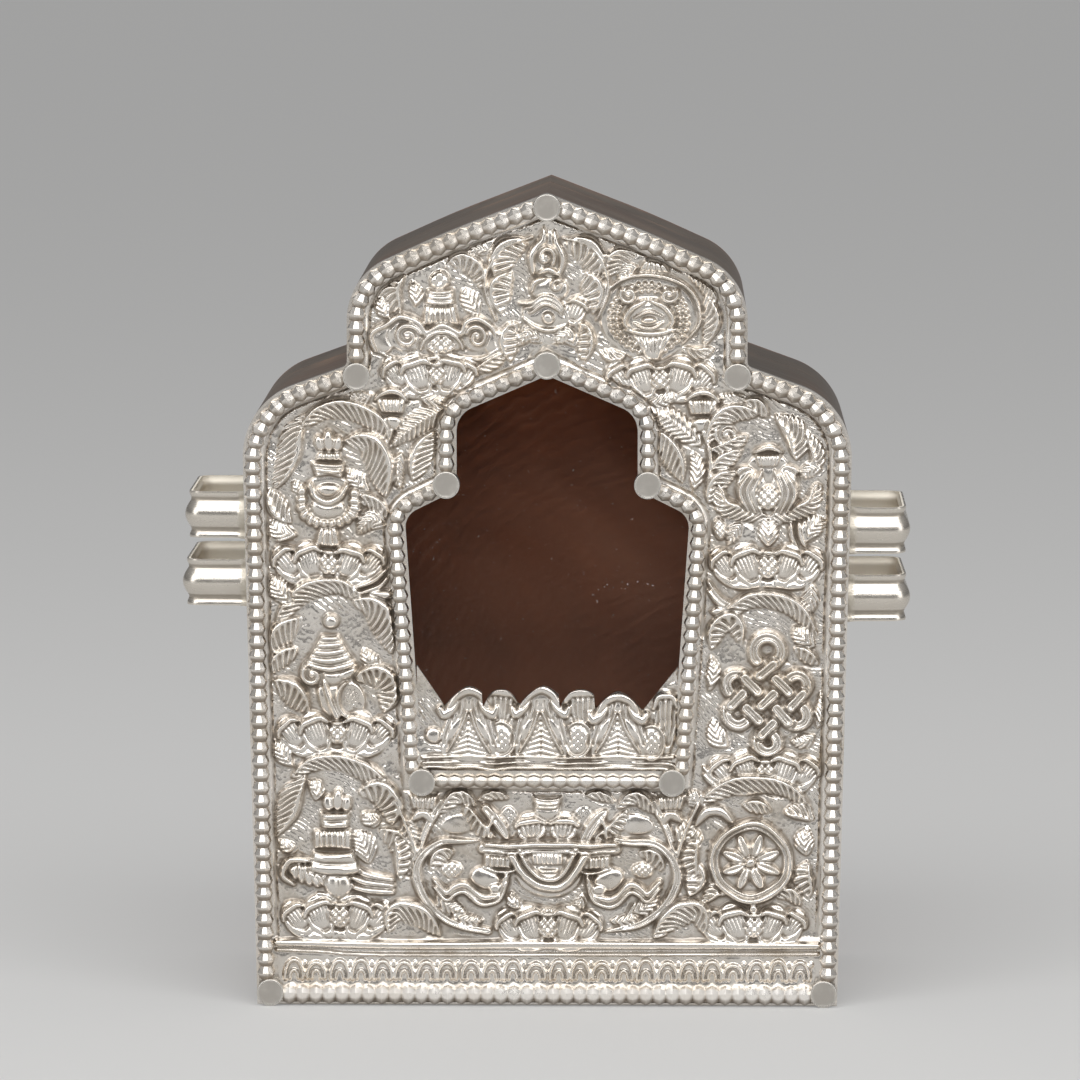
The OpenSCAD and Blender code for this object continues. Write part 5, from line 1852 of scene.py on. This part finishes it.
    def mirror(self) -> None:
        """The mirror in its ring of beads, on the right of the top."""
        c = self.c
        x, z = 18.6, 127.2
        c.frond([(10.4, 134.6), (12.4, 138), (16, 139)], 1.9, 1.3)
        c.leaf([(12.8, 133.8), (14.6, 136), (16.8, 136.6)], 1.2)
        c.ribs(19.6, 135.4, 138, 3.4, 1.8, 5, 1.4)
        c.frond([(24.6, 136.6), (28.4, 134), (30.6, 129.6)], 1.5, 1.1)
        c.frond([(29, 131), (30, 127), (28.6, 122.4)], 1.6, 1.2)
        c.frond([(24.6, 121.6), (27.4, 120.6), (30.6, 121.6)], 1.2, 1.1)
        c.frond([(14.4, 121.4), (12, 120.2), (9.4, 121)], 1.2, 1.1)
        c.dome(x, z, 8.8, 7.8, 0.5)
        c.stroke([(x + s, z + t) for s, t in ((-9, 3), (-5.4, 6.8), (0, 8), (5, 7), (8.4, 3.8),
                                              (9, -0.8), (6, -4.8))], 0.5, 1.4, (0.4, 0.4))
        for reach, count in ((6.9, 34), (5.7, 28)):
            for k in range(count):
                a = 2 * math.pi * k / count
                c.dome(x + reach * math.cos(a), z + reach * math.sin(a) * 0.9, 0.55, height=0.8,
                       lift=0.35)
        c.dome(x, z + 0.2, 4.9, 3.9, 1.1, lift=0.2)
        for side in (-1, 1):
            c.curl(x + side * 3.7, z + 4.3, 1.6, side * -1.2, 90 - side * 60, 0.5, 1.2, lift=0.5)
            c.stroke([(x + side * 0.4, z + 3.4), (x + side * 3.2, z + 1.9), (x + side * 4.4, z - 0.6),
                      (x + side * 2.6, z - 2.6)], 0.6, 0.9, (0.5, 0.5), lift=1.0)
        c.dome(x, z, 3.4, 1.7, 0.5, lift=0.7)
        c.stroke([(x - 2.7, z + 0.3), (x, z + 1.5), (x + 2.7, z + 0.3)], 0.4, 1.1, (0.4, 0.4), lift=0.8)
        c.dome(x, z - 0.1, 1.5, 0.7, 1.3, lift=0.7)
        c.stroke([(x - 2.7, z - 0.6), (x, z - 1.6), (x + 2.7, z - 0.6)], 0.4, 1.0, (0.4, 0.4), lift=0.8)
        c.ribs(x + 0.7, 119.6, 125, 1.2, 4.4, 7, 1.4)
        c.stroke([(x - 4.2, 125.2), (x + 0.4, 124.6), (x + 5, 125.2)], 0.7, 1.6, (0.5, 0.5))
        c.seat(20.5, 116.2, 9.6, 10.2, 1.9)

    def base_border(self, half: float, ridge: float, line: float) -> None:
        """The row of small petals along the foot, under a ridge and a line.

        Args:
            half: Half the border's width.
            ridge: The ridge's height.
            line: The thin line's height.
        """
        c = self.c
        c.stroke([(-half, ridge + 0.2), (-half * 0.5, ridge - 0.2), (0, ridge), (half, ridge - 0.1)],
                 0.85, 0.95, ends=(0.8, 0.8))
        c.stroke([(-half, line + 0.7), (-half * 0.84, line + 0.4), (-half * 0.6, line - 0.2),
                  (half * 0.4, line), (half, line + 0.2)], 0.34, 0.6)
        pitch = 4.05
        count = int(2 * half / pitch)
        lean = self.c.random.normal(0, 0.12, (count, 2))
        for k in range(count):
            x = (k - (count - 1) / 2) * pitch + lean[k, 0]
            c.stroke(arc(x, 5.6, 1.66, -20, 200, 1.4 + lean[k, 1]), 0.42, 0.62, lift=0.04)
            c.stroke(arc(x, 5.0, 0.8, -10, 190, 1.7), 0.3, 0.5, lift=0.04)
            c.dome(x + pitch / 2, 7.6, 0.5, 0.7, 0.3, lift=0.04)

    def draw(self) -> None:
        """Draws it all: from the top down, so that each lies over the seat above it."""
        for part in (self.banner, self.mirror, self.jewel, self.shoulders, self.treasure_vase,
                     self.conch, self.parasol, self.open_lotus, self.endless_knot, self.wheel,
                     self.offerings):
            part()


def distance_to(line: Array, x: Array, z: Array) -> Array:
    """Gives the distance of places to a closed line, negative inside it."""
    near = np.full(x.shape, 1e6)
    inside = np.zeros(x.shape, bool)
    for a, b in zip(line, np.roll(line, -1, axis=0)):
        way = b - a
        t = np.clip(((x - a[0]) * way[0] + (z - a[1]) * way[1]) / max(way @ way, 1e-12), 0, 1)
        near = np.minimum(near, (x - a[0] - t * way[0]) ** 2 + (z - a[1] - t * way[1]) ** 2)
        if a[1] != b[1]:
            inside ^= ((a[1] > z) != (b[1] > z)) & (x < way[0] * (z - a[1]) / way[1] + a[0])
    return np.where(inside, -1.0, 1.0) * np.sqrt(near)


@dataclass
class ReliefSheet:
    """A worked sheet: its front follows a field of heights, its edge is cut to a shape."""

    silver: Material
    sheet: float = 0.8

    def recess(self, height: Array, pitch: float) -> Array:
        """Works out the tarnish that stays in places lower than what is round them, and paints shade on
        slopes that face down.
        """
        wide = softened(height, 0.9, pitch) - height
        fine = softened(height, 0.3, pitch) - height
        slope = np.gradient(softened(height, 0.12, pitch), pitch, axis=0)
        low = np.clip(0.5 - height, 0, 0.5)
        # Painted shade: slopes that face down are darkened as if in shadow
        downward_painted_shade = np.clip(slope, 0, 1.2)
        return np.clip(0.08 + wide * 0.34 + fine * 1.5 + downward_painted_shade * 0.42 + low * 0.35, 0, 1)

    def build(self, name: str, node: str, canvas: ReliefCanvas, gap: Array,
              zones: Sequence[Callable[[Array, Array], Array]],
              lightened: Array | float = 0.0) -> None:
        """Turns the field into closed pieces, one for each zone.

        Args:
            name: The pieces' first name.
            node: The CAD node that they stand for.
            canvas: The field.
            gap: Distance of each place of the field to the sheet's edge, negative on it.
            zones: For each piece, which places belong to it.
            lightened: Share of the tarnish taken off each place.
        """
        h, pitch = canvas.height, canvas.pitch
        x, z = np.meshgrid(canvas.xs, canvas.zs)
        slope_z, slope_x = np.gradient(gap, pitch)
        size = np.maximum(np.hypot(slope_x, slope_z), 0.3) ** 2
        snap = (np.abs(gap) < 0.75 * pitch)
        x = np.where(snap, x - gap * slope_x / size, x)
        z = np.where(snap, z - gap * slope_z / size, z)
        kept = gap < 0.75 * pitch
        whole = kept[:-1, :-1] & kept[1:, :-1] & kept[:-1, 1:] & kept[1:, 1:]
        rise_z, rise_x = np.gradient(h, pitch)
        normals = np.stack([-rise_x, -np.ones_like(h), -rise_z], axis=-1)
        normals /= np.linalg.norm(normals, axis=-1)[..., None]
        painted_shade_and_tarnish = self.recess(h, pitch) * (1 - lightened)
        middle_x = 0.25 * (x[:-1, :-1] + x[1:, :-1] + x[:-1, 1:] + x[1:, 1:])
        middle_z = 0.25 * (z[:-1, :-1] + z[1:, :-1] + z[:-1, 1:] + z[1:, 1:])
        for number, zone in enumerate(zones):
            cells = whole & zone(middle_x, middle_z)
            self.piece(f"{name}_{number + 1}" if len(zones) > 1 else name, node, x, z, h, normals,
                       painted_shade_and_tarnish, cells)

    def piece(self, name: str, node: str, x: Array, z: Array, h: Array, normals: Array,
              painted_shade_and_tarnish: Array, cells: Array) -> None:
        """Makes one closed piece of the cells chosen.

        Args:
            name: The piece's name.
            node: The CAD node that it stands for.
            x: Places across.
            z: Places up.
            h: Heights.
            normals: The front's normals.
            painted_shade_and_tarnish: The tarnish and painted shade at each place.
            cells: The cells that belong to it.
        """
        width = h.shape[1]
        rows, cols = np.nonzero(cells)
        a = rows * width + cols
        quads = np.column_stack([a, a + 1, a + width + 1, a + width])
        used, index = np.unique(quads, return_inverse=True)
        quads = index.reshape(-1, 4)
        edges = np.concatenate([quads[:, [i, (i + 1) % 4]] for i in range(4)])
        code = edges[:, 0] * len(used) + edges[:, 1]
        back_code = edges[:, 1] * len(used) + edges[:, 0]
        border = edges[~np.isin(code, back_code)]
        after = dict(border.tolist())
        loops: list[list[int]] = []
        while after:
            start, follow = next(iter(after.items()))
            loop = [start]
            del after[start]
            while follow != start:
                loop.append(follow)
                follow = after.pop(follow)
            loops.append(loop)
        flat = on_face(np.column_stack([x.ravel()[used], z.ravel()[used]]), h.ravel()[used])
        verts, faces = [flat], quads.tolist()
        marks = [painted_shade_and_tarnish.ravel()[used]]
        ways = [normals.reshape(-1, 3)[used]]
        total = len(used)
        for loop in loops:
            low = flat[loop].copy()
            low[:, 1] = FACE_Y / MM + self.sheet
            verts.append(low)
            marks.append(np.full(len(loop), 0.6))
            ways.append(np.zeros((len(loop), 3)))
            count = len(loop)
            faces += [[loop[i], total + i, total + (i + 1) % count, loop[(i + 1) % count]]
                      for i in range(count)]
            faces.append([total + i for i in range(count - 1, -1, -1)])
            total += count
        mesh = bpy.data.meshes.new(name)
        mesh.from_pydata((np.vstack(verts) * MM).tolist(), [], faces)
        mesh.materials.append(self.silver)
        mesh.shade_smooth()
        store(mesh, "recess", np.concatenate(marks))
        mesh.normals_split_custom_set_from_vertices(np.vstack(ways).tolist())
        seat(stand(name, mesh), node)


@dataclass
class FrontPlate:
    """The whole worked front: plate and lotus panel."""

    shape: BoxShape
    silver: Material
    pitch: float = 0.18
    under_rim: float = 0.2
    seed: int = 23
    ridge: float = 11.3
    border_line: float = 9.5
    cuts: Point = (44.0, 112.0)

    def build(self) -> None:
        """Draws the ornament and cuts the two sheets."""
        half = self.shape.shoulder_half
        canvas = ReliefCanvas((-half - 0.5, -0.5), (half + 0.5, self.shape.height + 0.5),
                              self.pitch, self.seed)
        ornament = Ornament(canvas)
        x, z = np.meshgrid(canvas.xs, canvas.zs)
        outer = distance_to(self.shape.outline, x, z)
        opening = -distance_to(moved_in(self.shape.window_line, self.shape.opening_inset), x, z)
        hidden = -distance_to(moved_in(self.shape.window_line, -1.4), x, z)
        canvas.ground()
        canvas.height = canvas.height * eased(z, 12.2, 12.8) + 0.08
        ornament.draw()
        canvas.handmade()
        frame = eased(-outer, 3.6, 4.3) * eased(-hidden, 0.0, 0.5)
        canvas.height = canvas.height * frame
        for gap, place in ((-outer, 3.9), (-hidden, 0.45)):
            canvas.height -= 0.4 * np.exp(-((gap - place) / 0.3) ** 2) * (z > 12.5)
        ornament.base_border(self.shape.base_half - 3.6, self.ridge, self.border_line)
        canvas.height += 0.3 * (1 - eased(z, 11.9, 12.6))
        canvas.height = softened(np.clip(canvas.height, -0.35, 2.4), 0.09, self.pitch)
        gap = np.maximum(outer + self.under_rim, opening)

        def part(low: float, high: float, side: int) -> Callable[[Array, Array], Array]:
            """Gives the test for a piece between two heights, on one side of the middle."""
            return lambda x, z: (z >= low) & (z < high) & ((x >= 0) == (side > 0))

        levels = (-math.inf, *self.cuts, math.inf)
        zones = [part(low, high, side) for low, high in zip(levels, levels[1:]) for side in (-1, 1)]
        # Less tarnish along the foot and towards the top
        lightened = 0.62 * (1 - eased(z, 10.6, 13.0)) + 0.3 * eased(z, 110, 122)
        ReliefSheet(self.silver).build("chased_front", "front_plate", canvas, gap, zones, lightened)


@dataclass
class LotusPanel:
    """The row of lotus petals at the window's foot, with triangles in its corners."""

    silver: Material
    pitch: float = 0.16
    seed: int = 31

    def crest(self) -> Array:
        """Draws the panel's outline: petal tops between two slanted corners."""
        top: list[Point] = [(24.0, 63.0), (17.6, 54.9)]
        for x, z, wide, sharp in ((13.1, 58.4, 4.3, 1.6), (6.2, 58.7, 3.9, 2.6), (-0.6, 59.4, 4.4, 1.6),
                                  (-8.4, 58.7, 3.4, 2.6), (-14.2, 59.3, 4.4, 1.6)):
            for t in np.linspace(1, -1, 17):
                top.append((x + wide * t, z - 3.4 * abs(t) ** sharp))
        top += [(-18.8, 55.6), (-23.9, 63.2)]
        line = [top[0]]
        for point in top[1:]:
            if point[0] < line[-1][0]:
                line.append(point)
        return np.array([(-23.9, 43.75), (23.9, 43.75), *line])

    def build(self) -> None:
        """Draws and cuts the panel."""
        c = ReliefCanvas((-24.6, 43.2), (24.6, 64), self.pitch, self.seed)
        x, z = np.meshgrid(c.xs, c.zs)
        c.ground()
        c.height += 0.05
        c.dome(-20.8, 50.2, 1.7, 1.5, 1.0)
        c.petal((21.9, 47.6), (21.6, 57), 2.1, 1.1, 4, 0.35)
        for px in (-8.5, 6.7):
            c.petal((px, 51), (px, 57.2), 3.2, 1.2, 6, 0.36)
        for px, pz in ((-8.3, 49.6), (5.7, 49.6), (19.1, 49)):
            c.dome(px, pz, 2.7, 3.5, 0.6)
            c.dome(px, pz, 2.0, 2.8, 0.55, cross=0.95, lift=0.35)
            c.stroke(arc(px, pz, 2.45, 0, 360, 1.3), 0.35, 0.9)
        for px, top in ((-14.4, 58.6), (-1.1, 58.9), (13.0, 57.7)):
            c.stroke([(px, 56.4), (px, 51), (px, 46.6)], 5.0, 0.55, (0.7, 1.0), Profile.FLAT)
            for side in (-1, 1):
                for k in range(4):
                    c.scratch([(px + side * (0.7 + k), 56.6 - 0.4 * k),
                               (px + side * (1.1 + 1.1 * k), 53), (px + side * (2.6 + k), 48.6)],
                              0.2, 0.4)
            c.stroke([(px, 54.2), (px, 50.4), (px, 46.9)], 3.7, 0.75, (0.05, 1.0), Profile.FLAT)
            for k in range(7):
                for side in (-1, 1):
                    c.scratch([(px, 53 - k), (px + side * (0.5 + 0.5 * k), 52.2 - k)], 0.22, 0.35)
            for side in (-1, 1):
                c.stroke([(px + side * 0.4, 54.6), (px + side * 1.7, 51.2), (px + side * 4.0, 47.2)],
                         0.42, 1.15, (0.8, 0.5))
                c.stroke([(px + side * 2.2, top - 2.2), (px + side * 3.6, top - 4.0),
                          (px + side * 4.6, top - 4.6), (px + side * 5.2, top - 3.4)], 1.0, 1.35,
                         (0.6, 0.7))
            c.stroke([(px - 3.5, top - 2.9), (px - 2.1, top - 0.9), (px, top), (px + 2.1, top - 0.9),
                      (px + 3.5, top - 2.9)], 1.0, 1.45, (0.6, 0.6))
        for line, half, rise in ((46.2, 0.3, 0.75), (45.1, 0.26, 0.65), (44.2, 0.45, 0.9)):
            c.stroke([(-23.4, line), (0, line + 0.1), (23.4, line)], half, rise)
        c.handmade()
        c.height = softened(np.clip(c.height, -0.2, 1.5), 0.09, self.pitch)
        gap = distance_to(self.crest(), x, z)
        ReliefSheet(self.silver).build("chased_lotus_panel", "lotus_panel", c, gap,
                                       [lambda x, z: np.isfinite(x)])


@dataclass
class Studio:
    """The floor, the lamps, the world and the camera."""

    place: Triple = (0.01922, -1.12663, 0.22824)
    yaw: float = 1.065
    pitch: float = 7.321
    lens: float = 202.7
    floor_half: float = 60.0
    sky: tuple[Point, ...] = ((0.0, 0.9), (0.06, 0.3), (0.9, 0.9))
    sky_strength: float = 0.5

    def lamp(self, name: str, at: Sequence[float], wide: float, tall: float, power: float) -> None:
        """Hangs one soft lamp that faces the box.

        Args:
            name: The lamp's name.
            at: Its place in metres.
            wide: Its width in metres.
            tall: Its other side in metres.
            power: Its power in watts.
        """
        data = bpy.data.lights.new(name, "AREA")
        data.shape, data.size, data.size_y, data.energy = "RECTANGLE", wide, tall, power
        obj = stand(name, data)
        aim = np.array([0.0, 0.0, 0.07]) - np.array(at)
        aim = aim / np.linalg.norm(aim)
        obj.location = at
        pitch = math.acos(-aim[2])
        obj.rotation_euler = (pitch, 0.0, math.atan2(-aim[0], aim[1]) if pitch > 1e-4 else 0.0)

    def build(self) -> None:
        """Sets the stage."""
        scene = bpy.context.scene
        scene.view_settings.view_transform = "Standard"
        mesh = bpy.data.meshes.new("studio_floor")
        h = self.floor_half
        mesh.from_pydata([(-h, -h, 0), (h, -h, 0), (h, h, 0), (-h, h, 0)], [], [(0, 1, 2, 3)])
        mesh.materials.append(FloorPaper().make())
        stand("studio_floor", mesh)
        world = bpy.data.worlds.new("studio_world")
        world.use_nodes = True
        b = Bench(world.node_tree)
        up = b.signal("ShaderNodeTexCoord", output="Generated")
        tones = b.node("ShaderNodeValToRGB", None,
                       {0: b.signal("ShaderNodeSeparateXYZ", None, {0: up}, 2)})
        stops = tones.color_ramp.elements
        for height, _ in self.sky[1:-1]:
            stops.new(height)
        for stop, (height, tone) in zip(stops, self.sky):
            stop.position, stop.color = height, (tone, tone, tone, 1)
        shade = b.signal("ShaderNodeBackground", None, {0: tones.outputs[0], 1: self.sky_strength})
        b.node("ShaderNodeOutputWorld", None, {0: shade})
        scene.world = world
        self.lamp("top_softbox", (0.0, -0.66, 0.86), 1.6, 0.8, 10.5)
        self.lamp("left_fill", (-1.1, -0.8, 0.55), 0.6, 1.0, 3.6)
        self.lamp("right_fill", (1.1, -0.8, 0.5), 0.6, 1.0, 3.1)
        data = bpy.data.cameras.new("studio_camera")
        data.lens, data.sensor_width = self.lens, 36.0
        data.clip_start, data.clip_end = 0.05, 200.0
        camera = stand("studio_camera", data)
        camera.location = self.place
        camera.rotation_euler = (math.radians(90 - self.pitch), 0.0, math.radians(self.yaw))
        scene.camera = camera


def main() -> None:
    """Builds the studio and every piece of the box, in order."""
    logging.basicConfig(level=logging.INFO, format="%(name)s: %(message)s")
    Studio().build()
    shape = BoxShape()
    silver = ChasedSilver().make()
    beads = ChasedSilver(name="bead_silver", roughness=0.25, painted_shade_tarnish_from=0.25).make()
    matte = MatteSilver().make()
    copper = AgedCopper().make()
    lid_copper = LidCopper().make()
    CopperBox(shape, copper, lid_copper).build()
    Window(shape, ClearGlass().make(), matte).build()
    Rim(shape, silver).build()
    # The bottom wire gets a lighter silver, with less tarnish
    lightened = ChasedSilver("rubbed_bead_silver", bright=(0.95, 0.915, 0.87), warm=(0.86, 0.8, 0.73),
                          roughness=0.3, painted_shade_tarnish_from=0.3, painted_shade_tarnish_to=1.0).make()
    wires = BeadedWires(shape, beads, lightened)
    wires.build()
    Studs(wires, matte).build()
    StrapLoops(shape, LoopSilver().make()).build()
    FrontPlate(shape, silver).build()
    LotusPanel(silver).build()


if __name__ == "__main__":
    main()
